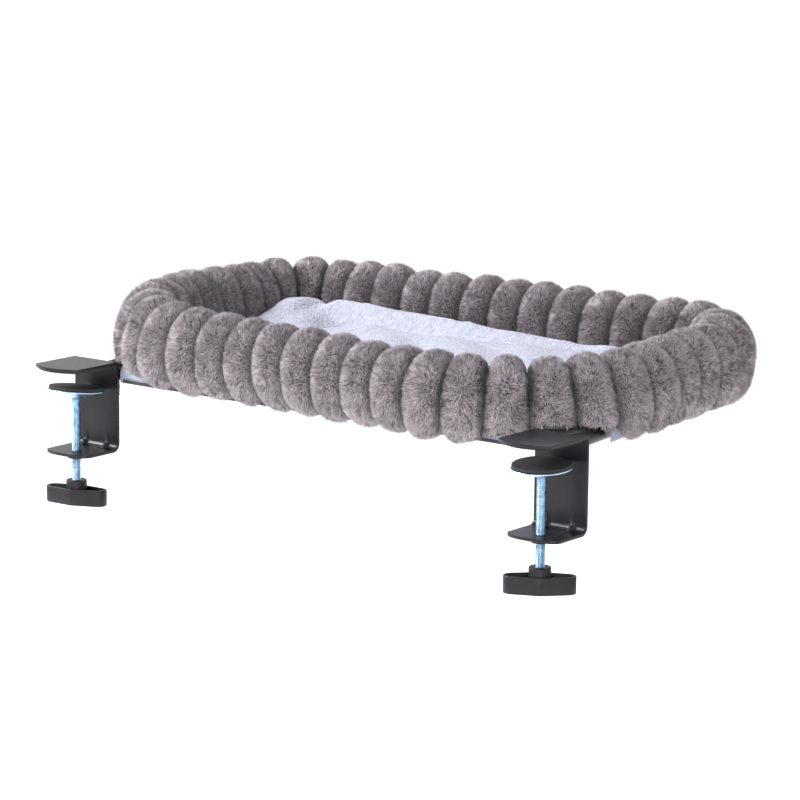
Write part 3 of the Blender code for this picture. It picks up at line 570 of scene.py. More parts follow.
def thread_tree():
    """A threaded rod: named inputs for its length, radius, pitch and depth."""
    tree, given = new_tree("thread", Float=["Length", "Radius", "Pitch", "Depth"], Material=["Finish"])
    turns = calc(tree, "DIVIDE", given["Length"], given["Pitch"])
    rows = calc(tree, "MULTIPLY", turns, 8.0)
    sizes = {"Vertices": 32, "Side Segments": rows, "Radius": given["Radius"], "Depth": given["Length"]}
    rod = add(tree, "GeometryNodeMeshCylinder", sizes, fill_type="TRIANGLE_FAN").outputs["Mesh"]
    parts = split(tree, add(tree, "GeometryNodeInputPosition").outputs[0])
    lead = calc(tree, "DIVIDE", calc(tree, "ARCTAN2", parts["Y"], parts["X"]), 2 * math.pi)
    phase = calc(tree, "SUBTRACT", calc(tree, "DIVIDE", parts["Z"], given["Pitch"]), lead)
    flank = remap(tree, calc(tree, "PINGPONG", phase, 0.5), 0.0, 1.0, 0.06, 0.44)
    share = calc(tree, "DIVIDE", calc(tree, "MULTIPLY", flank, given["Depth"]), given["Radius"])
    keep = calc(tree, "SUBTRACT", 1.0, share)
    new_x, new_y = calc(tree, "MULTIPLY", parts["X"], keep), calc(tree, "MULTIPLY", parts["Y"], keep)
    where = join(tree, X=new_x, Y=new_y, Z=parts["Z"])
    cut_rod = add(tree, "GeometryNodeSetPosition", {"Geometry": rod, "Position": where}).outputs[0]
    return end_tree(tree, cut_rod, given["Finish"])


def grown(tree, values, source=None):
    """The plain mesh that a Geometry Nodes tree makes from a source mesh with these named inputs."""
    host = bpy.data.objects.new("grown", source or bpy.data.meshes.new("seed"))
    bpy.context.scene.collection.objects.link(host)
    modifier = host.modifiers.new("grow", "NODES")
    modifier.node_group = tree
    for item in tree.interface.items_tree:
        if item.in_out == "INPUT" and item.name in values:
            modifier[item.identifier] = values[item.name]
    made = evaluated_mesh(host)
    bpy.data.objects.remove(host)
    return made


THREAD = thread_tree()
for side, sign, _, _ in SIDES:
    screw_mesh = grown(THREAD, {"Length": SCREW_LENGTH, **THREAD_SIZES})
    screw_mesh.transform(Matrix.Translation((sign * CLAMP_X, SCREW_Y, (SCREW_TOP_Z + SCREW_LOW_Z) / 2)))
    screw = piece(f"{side}_threaded_rod", screw_mesh, None, f"{side}_screw", [f"{side}_clamp_screw"], 60)
    print(screw.name, len(screw_mesh.polygons), "faces")

# %% [markdown]
# ## Pressure discs and their pads
# Each disc is pressed from sheet: a flat rim, a shallow cone and a cup that holds the ball. A turned profile gives
# it, and it is tilted as it lies in the photograph.

# %% Discs and pads
DISC_RADIUS = 0.0245
DISC_SHEET = 0.0012
BORE = 0.0031
PAD_RADIUS = 0.0237
PAD_THICK = 0.0025
PAD_GAP = 0.0003
PAD_ROUND = 0.0008


def disc_profile(top):
    """(radius, z) of the dished sheet, over its upper side, round the rim and back below."""
    low, under, edge = top - DISC_DISH, top - DISC_SHEET, DISC_SHEET / 2
    found = [(BORE, low), (0.0066, low), (0.0205, top - 0.0004), (0.0215, top)]
    found += round_corner((DISC_RADIUS - edge, top - edge), edge, 90, -90, 6)
    found += [(0.0213, under), (0.0203, under - 0.0003), (0.0085, low - DISC_SHEET + 0.0004)]
    return found + [(0.0078, low - DISC_SHEET), (BORE, low - DISC_SHEET)]


def disc_pad_profile(top):
    """(radius, z) of the pad on the disc, from the axis below to the axis above."""
    low, high = top + PAD_GAP, top + PAD_GAP + PAD_THICK
    found = [(0, low), (PAD_RADIUS - 0.0004, low), (PAD_RADIUS, low + 0.0004), (PAD_RADIUS, high - PAD_ROUND)]
    return found + round_corner((PAD_RADIUS - PAD_ROUND, high - PAD_ROUND), PAD_ROUND, 0, 90, 4) + [(0, high)]


for side, sign, lean, _ in SIDES:
    pivot = Matrix.Translation((sign * CLAMP_X, SCREW_Y, PIVOT_Z)) @ Matrix.Rotation(math.radians(lean), 4, "X")
    top = DISC_TOP_Z - PIVOT_Z
    disc_mesh = lathe_mesh(f"{side}_disc", disc_profile(top), pivot)
    piece(f"{side}_zinc_disc", disc_mesh, ZINC, f"{side}_disc", [f"{side}_pressure_disc"], 45)
    disc_pad_mesh = lathe_mesh(f"{side}_pad", disc_pad_profile(top), pivot)
    piece(f"{side}_rubber_disc", disc_pad_mesh, RUBBER, f"{side}_disc", [f"{side}_disc_pad"], 45)
print("discs tilt", [lean for _, _, lean, _ in SIDES], "degrees")

# %% [markdown]
# ## Knobs
# A hollow moulding: a long six-sided wall round a hub. Each level of the moulding is the same outline drawn in a
# little more or less, so the piece is a stack of outlines joined by faces, with the corners rounded.


# %% Knobs
KNOB_REACH, KNOB_TIP, KNOB_MIDDLE, KNOB_CUT = 0.02885, 0.00675, 0.01175, 0.0035
KNOB_CORNER = 0.0022
KNOB_FLOOR_Z = KNOB_BOTTOM_Z + 0.002
HUB_RADIUS = 0.009
HUB_ROUND = 0.0008
HUB_HOLE = 0.0041


def inset_outline(inset, steps=4):
    """The knob's six-sided outline with rounded corners, drawn in by an inset."""
    reach, tip, middle, cut = KNOB_REACH - inset, KNOB_TIP - inset, KNOB_MIDDLE - inset, KNOB_CUT
    right_side = [(reach, -tip + cut), (reach, tip - cut), (reach - cut, tip), (0, middle)]
    left_side = [(-reach + cut, tip), (-reach, tip - cut), (-reach, -tip + cut), (-reach + cut, -tip)]
    turns = [Vector(turn) for turn in right_side + left_side + [(0, -middle), (reach - cut, -tip)]]
    found = []
    for index, here in enumerate(turns):
        before = turns[index - 1] - here
        after = turns[(index + 1) % len(turns)] - here
        reach_back = min(KNOB_CORNER, before.length * 0.45, after.length * 0.45)
        start, end = here + before.normalized() * reach_back, here + after.normalized() * reach_back
        for step in range(steps + 1):
            t = step / steps
            found.append(start * (1 - t) ** 2 + here * 2 * t * (1 - t) + end * t**2)
    return found


def knob_mesh(name, x, angle, sides=64):
    """The wall as a stack of (inset, z) outlines, up outside and down inside, and the hub on its floor."""
    low, rim, floor_z, hub_top = KNOB_BOTTOM_Z, KNOB_RIM_Z, KNOB_FLOOR_Z, HUB_TOP_Z
    levels = [(0.0009, low), (0.0003, low + 0.0003), (0, low + 0.001), (0, rim - 0.0007), (0.0003, rim - 0.0001)]
    levels += [(0.0007, rim), (0.0014, rim), (0.0018, rim - 0.0002), (0.002, rim - 0.0006), (0.0022, floor_z)]
    points = [(p.x, p.y, z) for inset, z in levels for p in inset_outline(inset)]
    count = len(points) // len(levels)
    hub = [(HUB_RADIUS + 0.0003, floor_z)]
    hub += round_corner((HUB_RADIUS - HUB_ROUND, hub_top - HUB_ROUND), HUB_ROUND, 0, 90, 4)
    hub += [(HUB_HOLE + 0.0003, hub_top), (HUB_HOLE, hub_top - 0.0004), (HUB_HOLE, floor_z)]
    faces = stack_faces(len(levels), count) + end_faces(len(levels), count)
    faces += stack_faces(len(hub), sides, first=len(points), wrapped=True)
    move = Matrix.Translation((x, SCREW_Y, 0)) @ Matrix.Rotation(angle, 4, "Z")
    return closed_mesh(name, [move @ Vector(p) for p in points + turned_points(hub, sides)], faces)


for side, sign, _, knob_turn in SIDES:
    mesh = knob_mesh(f"{side}_knob_form", sign * CLAMP_X, math.radians(knob_turn))
    knob = piece(f"{side}_moulded_knob", mesh, PLASTIC, f"{side}_screw", [f"{side}_knob"], 40)
    print(knob.name, len(mesh.polygons), "faces")

# %% [markdown]
# ## Tube frame
# The frame is 12 mm steel tube. The CAD's tube has twelve flat sides, so a round one is swept along the same centre
# line: a straight rail behind the brackets, and the hoop that carries the cover.

# %% Centre lines
FRONT_HALF = 0.2515
BACK_HALF = 0.2135
FRAME_BACK_Y = TUBE_Y + 0.288
FRONT_CORNER = 0.0175
BACK_CORNER = 0.062
JOINT_X = 0.200
JOINT_GAP = 0.0003


def fillet(corner, before, after, radius, steps):
    """The arc that rounds one corner of a route."""
    corner = Vector(corner)
    to_before = (Vector(before) - corner).normalized()
    to_after = (Vector(after) - corner).normalized()
    half = to_before.angle(to_after) / 2
    centre = corner + (to_before + to_after).normalized() * radius / math.sin(half)
    start = corner + to_before * radius / math.tan(half) - centre
    end = corner + to_after * radius / math.tan(half) - centre
    sweep = start.angle_signed(end)
    found = []
    for step in range(steps + 1):
        turned = start.copy()
        turned.rotate(Matrix.Rotation(-sweep * step / steps, 2))
        found.append(centre + turned)
    return found


def rounded_loop(corners, radii, steps):
    """A closed outline through filleted corners, anticlockwise from above."""
    found = []
    for index, corner in enumerate(corners):
        after = corners[(index + 1) % len(corners)]
        found += fillet(corner, corners[index - 1], after, radii[index], steps)
    return found


def spread(outline, shares):
    """Places along a closed outline, at these shares of its length, as (point, outward normal)."""
    track = outline + outline[:1]
    lengths = [(b - a).length for a, b in zip(track, track[1:])]
    reach = np.concatenate([[0], np.cumsum(lengths)])
    found = []
    for distance in [share * reach[-1] for share in shares]:
        index = min(int(np.searchsorted(reach, distance, side="right")) - 1, len(lengths) - 1)
        found.append(track[index].lerp(track[index + 1], (distance - reach[index]) / max(lengths[index], 1e-9)))
    return [(point, side_way(found, index, closed=True)) for index, point in enumerate(found)]


def evenly(count):
    return [step / count for step in range(count)]


def frame_loop():
    """The tube's centre line as a closed outline."""
    corners = [(FRONT_HALF, TUBE_Y), (BACK_HALF, FRAME_BACK_Y), (-BACK_HALF, FRAME_BACK_Y), (-FRONT_HALF, TUBE_Y)]
    return rounded_loop(corners, (FRONT_CORNER, BACK_CORNER, BACK_CORNER, FRONT_CORNER), 16)


def tube_mesh(name, route, sides=32):
    """A round rod along a level route, with closed ends."""
    points = []
    for index, here in enumerate(route):
        out = side_way(route, index) * TUBE_RADIUS
        for step in range(sides):
            angle = 2 * math.pi * step / sides
            across = here + out * math.cos(angle)
            points.append((across.x, across.y, TUBE_Z + TUBE_RADIUS * math.sin(angle)))
    return closed_mesh(name, points, stack_faces(len(route), sides) + end_faces(len(route), sides))


# %% Rail and hoop
rail_route = [Vector((-JOINT_X, TUBE_Y)), Vector((JOINT_X, TUBE_Y))]
piece("front_tube", tube_mesh("front_tube", rail_route), COAT, "bed", ["front_rail"])
right_half = [Vector((JOINT_X + JOINT_GAP, TUBE_Y))]
right_half += fillet((FRONT_HALF, TUBE_Y), (JOINT_X, TUBE_Y), (BACK_HALF, FRAME_BACK_Y), FRONT_CORNER, 14)
right_half += fillet((BACK_HALF, FRAME_BACK_Y), (FRONT_HALF, TUBE_Y), (0, FRAME_BACK_Y), BACK_CORNER, 24)
hoop_route = right_half + [Vector((-p.x, p.y)) for p in reversed(right_half)]
hoop = piece("hoop_tube", tube_mesh("hoop_tube", hoop_route), COAT, "bed", ["rear_hoop"])
print("hoop:", len(hoop.data.polygons), "faces")

# %% [markdown]
# ## Cloth cover
# A woven polyester cover is slung over the frame: a sleeve round the tube, hemmed level with its underside, and a
# flat floor inside. It is cut away behind the clamps and round the corners beside them. The cloth is one thin sheet
# that follows the frame's outline, with small pulls and puckers, and Solidify gives it its thickness. Its weave
# reads the sheet's own UV map, in metres.


# %% Cloth finish
def woven_cloth():
    """Plain-woven polyester, pale bluish white. The weave is drawn at 1.2 mm, about twice its real spacing, to show."""
    made, tree, shader = new_material("pale_woven_polyester", Roughness=0.82, Sheen_Weight=0.25, Sheen_Roughness=0.5)
    parts = split(tree, add(tree, "ShaderNodeUVMap", uv_map="cloth").outputs[0])
    warp, weft = [ripple(tree, parts[axis], 1.2 * MM) for axis in ("X", "Y")]
    height = remap(tree, calc(tree, "MULTIPLY", warp, weft), 0.0, 1.0, -1.0)
    paint(tree, shader, grain(tree, object_place(tree), 25 * MM, 3), "9499AA", "AEB3C2")
    bump(tree, shader, height, 0.12 * MM)
    return made


CLOTH = woven_cloth()
print("cloth finish:", CLOTH.name)

# %% Cover
FABRIC = 0.001
SLEEVE = 0.0069
SLEEVE_SWEEP = 150
SKIRT = 0.0078
FLOOR_RISE = 0.002
FLOOR_START = 0.0094
FLOOR_SAG = 0.0006
FLOOR_SHARES = (0.985, 0.96, 0.93, 0.88, 0.8, 0.7, 0.58, 0.45, 0.3, 0.15)
STATIONS = 560
CENTRE = Vector((0, TUBE_Y + 0.144))
BARE_X = CLAMP_X - BRACKET_HALF - 0.003
BARE_Y = TUBE_Y + 0.057


def cover_profile():
    """(outwards, z, cloth length) across the sleeve, from the skirt's lower edge over the tube to the floor."""
    found = [(SLEEVE, -SKIRT + SKIRT * step / 8) for step in range(8)]
    found += round_corner((0, 0), SLEEVE, 0, SLEEVE_SWEEP, 14)
    found += [(-0.0075, 0.0026), (-FLOOR_START, FLOOR_RISE)]
    lengths = np.cumsum([0.0] + [math.dist(a, b) for a, b in zip(found, found[1:])])
    return [(out, z, float(length)) for (out, z), length in zip(found, lengths)]


def pucker(x, y, z, size, depth):
    """Slow noise, about this many metres from swell to swell and this deep."""
    return noise.noise(Vector((x / size, y / size, z / size))) * depth


def cover_mesh(stations):
    """The cloth as one sheet with its UV map, and its area."""
    profile = cover_profile()
    points, places = [], []
    walked = 0.0
    for index, (place, out_way) in enumerate(stations):
        if index:
            walked += (place - stations[index - 1][0]).length
        for out, z, length in profile:
            hang = min(1, max(0, -z / SKIRT))
            push = pucker(place.x, place.y, z, 0.035, 0.0005) + pucker(place.x, place.y, z, 0.011, 0.0002)
            push += hang * pucker(place.x, place.y, 0, 0.05, 0.0006)
            here = place + out_way * (out + max(push, -0.0001))
            points.append((here.x, here.y, TUBE_Z + z))
            places.append((walked, length))
        edge = place - out_way * FLOOR_START
        for share in FLOOR_SHARES:
            here = CENTRE + (edge - CENTRE) * share
            sag = -FLOOR_SAG * (1 - share) + pucker(here.x, here.y, 3, 0.05, 0.0003)
            points.append((here.x, here.y, TUBE_Z + FLOOR_RISE + sag))
            places.append((here.x, here.y))
    points.append((CENTRE.x, CENTRE.y, TUBE_Z + FLOOR_RISE - FLOOR_SAG))
    places.append((CENTRE.x, CENTRE.y))
    width = len(profile) + len(FLOOR_SHARES)
    faces = []
    for index, (place, _) in enumerate(stations):
        after = (index + 1) % len(stations)
        bare = all(abs(p.x) > BARE_X and p.y < BARE_Y for p in (place, stations[after][0]))
        for step in range(len(profile) - 1 if bare else 0, width - 1):
            a, b = index * width + step, after * width + step
            faces.append((a, b, b + 1, a + 1))
        faces.append((index * width + width - 1, after * width + width - 1, len(points) - 1))
    mesh = bpy.data.meshes.new("cover_sheet")
    mesh.from_pydata(points, [], faces)
    layer = mesh.uv_layers.new(name="cloth")
    for loop in mesh.loops:
        layer.data[loop.index].uv = places[loop.vertex_index]
    return mesh, face_outwards(mesh)


tube_line = spread(frame_loop(), evenly(STATIONS))
cover_sheet, cover_area = cover_mesh(tube_line)
cover = piece("slung_cover", cover_sheet, CLOTH, "bed", ["bed_cover"], 0)
modify(cover, "cloth", "SOLIDIFY", thickness=FABRIC, offset=0)
finish_modifiers(cover)
cover.data.shade_smooth()
turned_over = 2 * (cover_profile()[-1][2] - FLOOR_START)

# %% [markdown]
# ## Stitched binding
# Along the front, the skirt's lower edge is bound with dark tape and sewn down. The stitches repeat along a line, so
# Geometry Nodes place one short stitch over and over and join the result.


# %% Binding and stitches
def dark_tape():
    """Black polypropylene binding tape, ribbed along its length every 0.7 mm, with painted shade in the grooves."""
    made, tree, shader = new_material("black_binding_tape", Roughness=0.8)
    height = remap(tree, ripple(tree, split(tree, object_place(tree))["X"], 0.7 * MM), 0.0, 1.0, -1.0)
    # Painted shade: the grooves between the ribs are coloured darker and the rib crests paler, from the same height as
    # the bump.
    paint(tree, shader, height, "2B2A31", "4A4852", 0.0, 1.0)
    bump(tree, shader, height, 0.1 * MM)
    return made


def stitch_tree():
    """A row of short stitches along X: how many, how far apart, how long and how thick."""
    floats = ["Pitch", "Length", "Thickness"]
    tree, given = new_tree("stitches", Int=["Count"], Float=floats, Material=["Finish"])
    offset = join(tree, X=given["Pitch"])
    row = add(tree, "GeometryNodeMeshLine", {"Count": given["Count"], "Offset": offset}, mode="OFFSET").outputs[0]
    size = join(tree, X=given["Length"], Y=given["Thickness"], Z=given["Thickness"])
    grain_form = add(tree, "GeometryNodeMeshUVSphere", {"Segments": 8, "Rings": 5, "Radius": 0.5}).outputs["Mesh"]
    stitch = add(tree, "GeometryNodeSetShadeSmooth", {"Geometry": grain_form}).outputs[0]
    placed = add(tree, "GeometryNodeInstanceOnPoints", {"Points": row, "Instance": stitch, "Scale": size})
    return end_tree(tree, placed.outputs[0], given["Finish"])


TAPE = dark_tape()
SKIRT_FACE_Y = TUBE_Y - SLEEVE - FABRIC / 2
TAPE_HALF = CLAMP_X - BRACKET_HALF - 0.006
TAPE_SECTION = ((0.0003, 0.0), (0.0011, 0.0003), (0.0012, 0.0015), (0.0011, 0.0028), (0.0003, 0.003))
STITCH_PITCH = 2.8 * MM
STITCH_COUNT = int(2 * TAPE_HALF / STITCH_PITCH)
STITCH_SIZES = {"Count": STITCH_COUNT, "Pitch": STITCH_PITCH, "Length": 1.9 * MM, "Thickness": 0.45 * MM}
STITCH_PLACE = (-TAPE_HALF + STITCH_PITCH / 2, SKIRT_FACE_Y - 0.0003, TUBE_Z - SKIRT + 0.0042)


def tape_mesh(count=220):
    """A thin tape with a rounded section that follows the skirt's lower edge."""
    points = []
    for step in range(count + 1):
        x = TAPE_HALF * (2 * step / count - 1)
        drift = pucker(x, 0, 0, 0.04, 0.0003)
        points += [(x, SKIRT_FACE_Y - out, TUBE_Z - SKIRT + up + drift) for out, up in TAPE_SECTION]
    rings, width = count + 1, len(TAPE_SECTION)
    return closed_mesh("binding_tape", points, stack_faces(rings, width) + end_faces(rings, width))


piece("binding_tape", tape_mesh(), TAPE, "bed", ["cover_binding"], 50)
stitch_mesh = grown(stitch_tree(), {**STITCH_SIZES, "Finish": TAPE})
stitch_mesh.transform(Matrix.Translation(STITCH_PLACE))
piece("binding_stitches", stitch_mesh, None, "bed", smooth=0)
print("stitches:", STITCH_COUNT)

# %% [markdown]
# ## Bolster
# The bolster is a stuffed tube of plush, gathered by threads into 45 fat lobes. Its skin follows a rule: a rounded
# rectangle as the centre line, an oval section, and a crease between one lobe and the next that is nearly as deep
# as the lobe is half wide, so the lobes look like discs in a row. Each lobe is a little different in size and lean.
# Inside the frame it lies flat on the cover, on the clamps it lies on their plates, and outside the frame it hangs
# over the tube. At the two front corners its lower half slumps outwards, further on the right.

# %% Bolster sizes
LOBES = 45
PER_LOBE = 16
AROUND = 46
WIDE_LOBES, WIDE_BY = range(12, 26), 1.055
TIGHT_LOBES = (10, 11, *range(26, 34))
LOBE_PHASE = 0.05
RING_X = -0.0075
RING_HALF = 0.248
RING_FRONT_Y = -0.001
RING_BACK_Y = 0.289
RING_FRONT_CORNER = 0.136
RING_BACK_CORNER = 0.062
RING_Z = 0.0222
RING_TWIST = 0.004
PILE = 0.0050
PILE_STANDS = 0.0040
SKIN_WIDTH = 0.0322 - PILE_STANDS
SKIN_HEIGHT = 0.0407 - PILE_STANDS
HEIGHT_LEAN = 0.10
HANG = 0.93
SQUARED = 0.94
LUMP = 0.0018
SHIFT = 0.014
SLUMP_LEFT, SLUMP_RIGHT = 0.020, 0.050
CREASE = 0.0180
CREASE_POWER = 2.2
CREASE_WIDTH = 0.9
INNER_SHORT = 0.35
COMB_SPREAD = 1.3
SEAT_Z = 0.0022
SEAT_OUT = 0.0080
PLATE_SEAT_Z = PLATE_TOP_Z + 0.0008
PLATE_SEAT_HALF = BRACKET_HALF + 0.002
PLATE_EASE_INNER, PLATE_EASE_OUTER = 0.25, 1.2
rng = np.random.default_rng(11)
LOBE_TALL = rng.normal(1.0, 0.022, LOBES)
LOBE_WIDE = rng.normal(1.0, 0.03, LOBES)
LOBE_LEAN = rng.normal(0.0, 0.05, LOBES)
LOBE_SHIFT = rng.normal(0.0, 0.035, LOBES)
LOBE_PITCH = np.ones(LOBES)
LOBE_PITCH[list(WIDE_LOBES)] = WIDE_BY
LOBE_PITCH[list(TIGHT_LOBES)] = 1 - len(WIDE_LOBES) * (WIDE_BY - 1) / len(TIGHT_LOBES)
LOBE_STARTS = np.concatenate([[0], np.cumsum(LOBE_PITCH)])


def ring_loop(offset=0.0):
    """The bolster's centre line, moved outwards by an offset."""
    x0, x1 = RING_X - RING_HALF - offset, RING_X + RING_HALF + offset
    y0, y1 = RING_FRONT_Y - offset, RING_BACK_Y + offset
    front, back = RING_FRONT_CORNER + offset, RING_BACK_CORNER + offset
    return rounded_loop([(x1, y0), (x1, y1), (x0, y1), (x0, y0)], (front, back, back, front), 24)


def outside_frame(xy):
    """How far outside the frame's outline each point lies, in metres; negative inside."""
    outline = np.array([tuple(p) for p in frame_loop()])
    ends = np.roll(outline, -1, axis=0)
    best = np.full(len(xy), 1e9)
    inside = np.zeros(len(xy), bool)
    for start, end in zip(outline, ends):
        along = end - start
        share = np.clip(((xy - start) @ along) / max(along @ along, 1e-18), 0, 1)
        best = np.minimum(best, np.linalg.norm(xy - start - share[:, None] * along, axis=1))
        if along[1]:
            crosses = (start[1] > xy[:, 1]) != (end[1] > xy[:, 1])
            at = start[0] + (xy[:, 1] - start[1]) * along[0] / along[1]
            inside ^= crosses & (xy[:, 0] < at)
    return np.where(inside, -best, best)


print("lobe pitch:", round(sum((b - a).length for a, b in zip(ring_loop(), ring_loop()[1:])) / LOBES / MM, 1), "mm")


# %% Inflating a skin
SIM_FRAMES = 20
PRESSURE = 4.0


def coordinates(mesh):
    """A mesh's points as an array with a row for each."""
    found = np.empty(3 * len(mesh.vertices))
    mesh.vertices.foreach_get("co", found)
    return found.reshape(-1, 3)


def inflate(obj, held, cap):
    """Blow a closed skin up as cloth, without gravity: held points stay, and no point moves further than the cap."""
    start = coordinates(obj.data)
    obj.vertex_groups.new(name="held").add(np.flatnonzero(held).tolist(), 1.0, "REPLACE")
    cloth = obj.modifiers.new("cloth", "CLOTH")
    cloth.settings.vertex_group_mass = "held"
    cloth.settings.use_pressure = True
    cloth.settings.uniform_pressure_force = PRESSURE
    cloth.settings.effector_weights.gravity = 0
    cloth.point_cache.frame_start, cloth.point_cache.frame_end = 1, SIM_FRAMES
    for moment in range(1, SIM_FRAMES + 1):
        bpy.context.scene.frame_set(moment)
    puffed = obj.evaluated_get(bpy.context.evaluated_depsgraph_get()).to_mesh()
    move = coordinates(puffed) - start
    obj.modifiers.clear()
    obj.vertex_groups.clear()
    bpy.context.scene.frame_set(1)
    size = np.linalg.norm(move, axis=1)
    move *= (np.minimum(size, cap) / np.maximum(size, 1e-9))[:, None]
    obj.data.vertices.foreach_set("co", (start + move).ravel())
    obj.data.update()
    print(obj.name, "puffed up by", round(float(np.percentile(size, 90)) / MM, 1), "mm before the cap")


# %% Bolster skin
def lobe_row(place, out_way, lobe, across):
    """One oval of the skin: its points, and how the pile is combed there. Across is -1 to 1 from crease to crease."""
    swell = 1 - across**2
    drawn_in = CREASE * (1 - max(0.0, 1 - abs(across) ** CREASE_POWER) ** (1 / CREASE_POWER))
    ux = (place.x - RING_X) / RING_HALF
    uy = 2 * (place.y - RING_FRONT_Y) / (RING_BACK_Y - RING_FRONT_Y) - 1
    half_width = SKIN_WIDTH * (1 + (LOBE_WIDE[lobe] - 1) * swell) - drawn_in * CREASE_WIDTH
    swollen = 1 + (LOBE_TALL[lobe] - 1) * swell
    half_height = SKIN_HEIGHT * (1 - HEIGHT_LEAN * ux + HEIGHT_LEAN * uy) * swollen - drawn_in
    hang = SKIN_HEIGHT * HANG * swollen - drawn_in
    slump = 0
    if out_way.y < 0:
        slump = (SLUMP_RIGHT if out_way.x > 0 else SLUMP_LEFT) * (abs(out_way.x) + abs(out_way.y) - 1)
    flat_out = Vector((out_way.x, out_way.y, 0))
    along_way = Vector((-out_way.y, out_way.x, 0))
    centre = Vector((place.x, place.y, RING_Z + RING_TWIST * ux * uy))
    points, combed = [], []
    for step in range(AROUND):
        angle = 2 * math.pi * step / AROUND
        c, s = math.cos(angle), math.sin(angle)
        lump = noise.noise(Vector((lobe * 7.3 + c * 1.4, s * 1.4, across * 0.9))) * LUMP * swell
        out = (half_width + lump) * math.copysign(abs(c) ** SQUARED, c)
        rise = ((half_height if s > 0 else hang) + lump) * math.copysign(abs(s) ** SQUARED, s)
        lean = (LOBE_LEAN[lobe] * rise + LOBE_SHIFT[lobe] * SHIFT) * swell
        out += slump * min(1, max(0, (0.45 - s) / 1.2)) ** 1.3
        points.append(centre + flat_out * out + along_way * lean + Vector((0, 0, rise)))
        combed.append((flat_out * c + Vector((0, 0, s)) + along_way * across * swell * COMB_SPREAD).normalized())
    return points, combed


def seat(co):
    """Lay the skin's points on the cover and on the clamps' plates; tells which lie near the cover."""
    out = outside_frame(co[:, :2])
    buried = (out < SEAT_OUT) & (co[:, 2] < SEAT_Z)
    co[buried, 2] = SEAT_Z
    beside = np.abs(co[:, 0]) - CLAMP_X
    ease = np.where(beside < 0, PLATE_EASE_INNER, PLATE_EASE_OUTER)
    shelf = PLATE_SEAT_Z - np.maximum(np.abs(beside) - PLATE_SEAT_HALF, 0) * ease
    co[:, 2] = np.maximum(co[:, 2], np.where(co[:, 1] < TOP_BEND, shelf, -1))
    return (out < SEAT_OUT + 0.005) & (co[:, 2] < SEAT_Z + 0.004)


def store(mesh, name, kind, domain, values):
    """Keep one value for each point or face of a mesh."""
    field = "vector" if kind == "FLOAT_VECTOR" else "value"
    mesh.attributes.new(name, kind, domain).data.foreach_set(field, values)


def bolster_skin():
    """The skin, with each face's lobe, whether it lies on the cover, and how its points' pile is combed."""
    steps = np.arange(LOBES * PER_LOBE) / PER_LOBE
    shares = (np.interp(steps, np.arange(LOBES + 1), LOBE_STARTS) + LOBE_PHASE) / LOBES % 1
    inner = [INNER_SHORT * max(0, -math.cos(2 * math.pi * step / AROUND)) for step in range(AROUND)]
    points, combed, crests = [], [], []
    for index, (place, out_way) in enumerate(spread(ring_loop(), shares)):
        across = 2 * (index % PER_LOBE) / PER_LOBE - 1
        row, ways = lobe_row(place, out_way, index // PER_LOBE, across)
        points += row
        combed += ways
        # The crest share is 1 on a lobe's crest, falls to 0 in the creases and is lower on the inner side; it sets the
        # hair's length and the fur's painted crease shade.
        crests += [(1 - abs(across) ** 3) * (1 - short) for short in inner]
    co = np.array(points)
    near_seat = seat(co)
    faces = [(a, d, c, b) for a, b, c, d in stack_faces(len(steps), AROUND, wrapped=True)]
    mesh = bpy.data.meshes.new("bolster_skin")
    mesh.from_pydata(co.tolist(), [], faces)
    store(mesh, "lobe", "INT", "FACE", [index // (AROUND * PER_LOBE) for index in range(len(faces))])
    store(mesh, "buried", "BOOLEAN", "FACE", near_seat[np.array(faces)].sum(axis=1) >= 3)
    store(mesh, "combed", "FLOAT_VECTOR", "POINT", np.array(combed).ravel())
    store(mesh, "crest", "FLOAT", "POINT", crests)
    face_outwards(mesh)
    return mesh


def shaded_plush_backing():
    """The plush's knitted backing, seen between the hairs: painted dark as painted shade deep in the pile, with lumps
    about 3 mm across.
    """
    made, tree, shader = new_material("shaded_plush_backing", Roughness=1.0, Sheen_Weight=0.3)
    place = object_place(tree)
    # Painted shade: the backing is coloured much darker than the hairs, as the pile's shade between them.
    paint(tree, shader, grain(tree, place, 3 * MM, 4), "4F4A4B", "746D6C")
    bump(tree, shader, grain(tree, place, 1.5 * MM, 4), 1.0 * MM)
    return made


SHADED_BACKING = shaded_plush_backing()
skin_mesh = bolster_skin()
skin = piece("bolster_skin", skin_mesh, SHADED_BACKING, "bed", ["bolster"], 0)
skin_mesh.shade_smooth()
crest_values = np.empty(len(skin_mesh.vertices))
skin_mesh.attributes["crest"].data.foreach_get("value", crest_values)
inflate(skin, (crest_values < 0.3) | (coordinates(skin_mesh)[:, 2] < SEAT_Z + 0.001), 0.0016)
print("bolster skin:", len(skin_mesh.polygons), "faces")

# %% [markdown]
# ## Fur
# The plush has a dense pile of fine hairs about 5 mm long, shorter in the creases and towards the mat. On each lobe
# they are combed outwards from the creases, so they stand up on the lobe's crest and lie flat on its sides. Hair
# repeats over a surface, so Geometry Nodes scatter one leaning triangle over the skin, along the combed way that
# each point of the skin carries. A slow noise swirls the pile, and a finer one gathers it into tufts. Each hair
# keeps its share of the way from root to tip, a random tone and how near it stands to a lobe's crest. Its material
# reads all three: painted shade darkens the roots and the hairs in the creases and on the inner side, and a painted
# highlight makes the tips paler.


# %% Blade and fur tree
def blade_mesh():
    """One hair, 1 m long and 1 m wide before scaling: a thin triangle that leans over."""
    mesh = bpy.data.meshes.new("blade")
    points = [(-0.5, 0, 0), (0.5, 0, 0), (0, 0.3, 1.0)]
    mesh.from_pydata(points, [], [(0, 1, 2)])
    store(mesh, "tip", "FLOAT", "POINT", [p[2] for p in points])
    return mesh


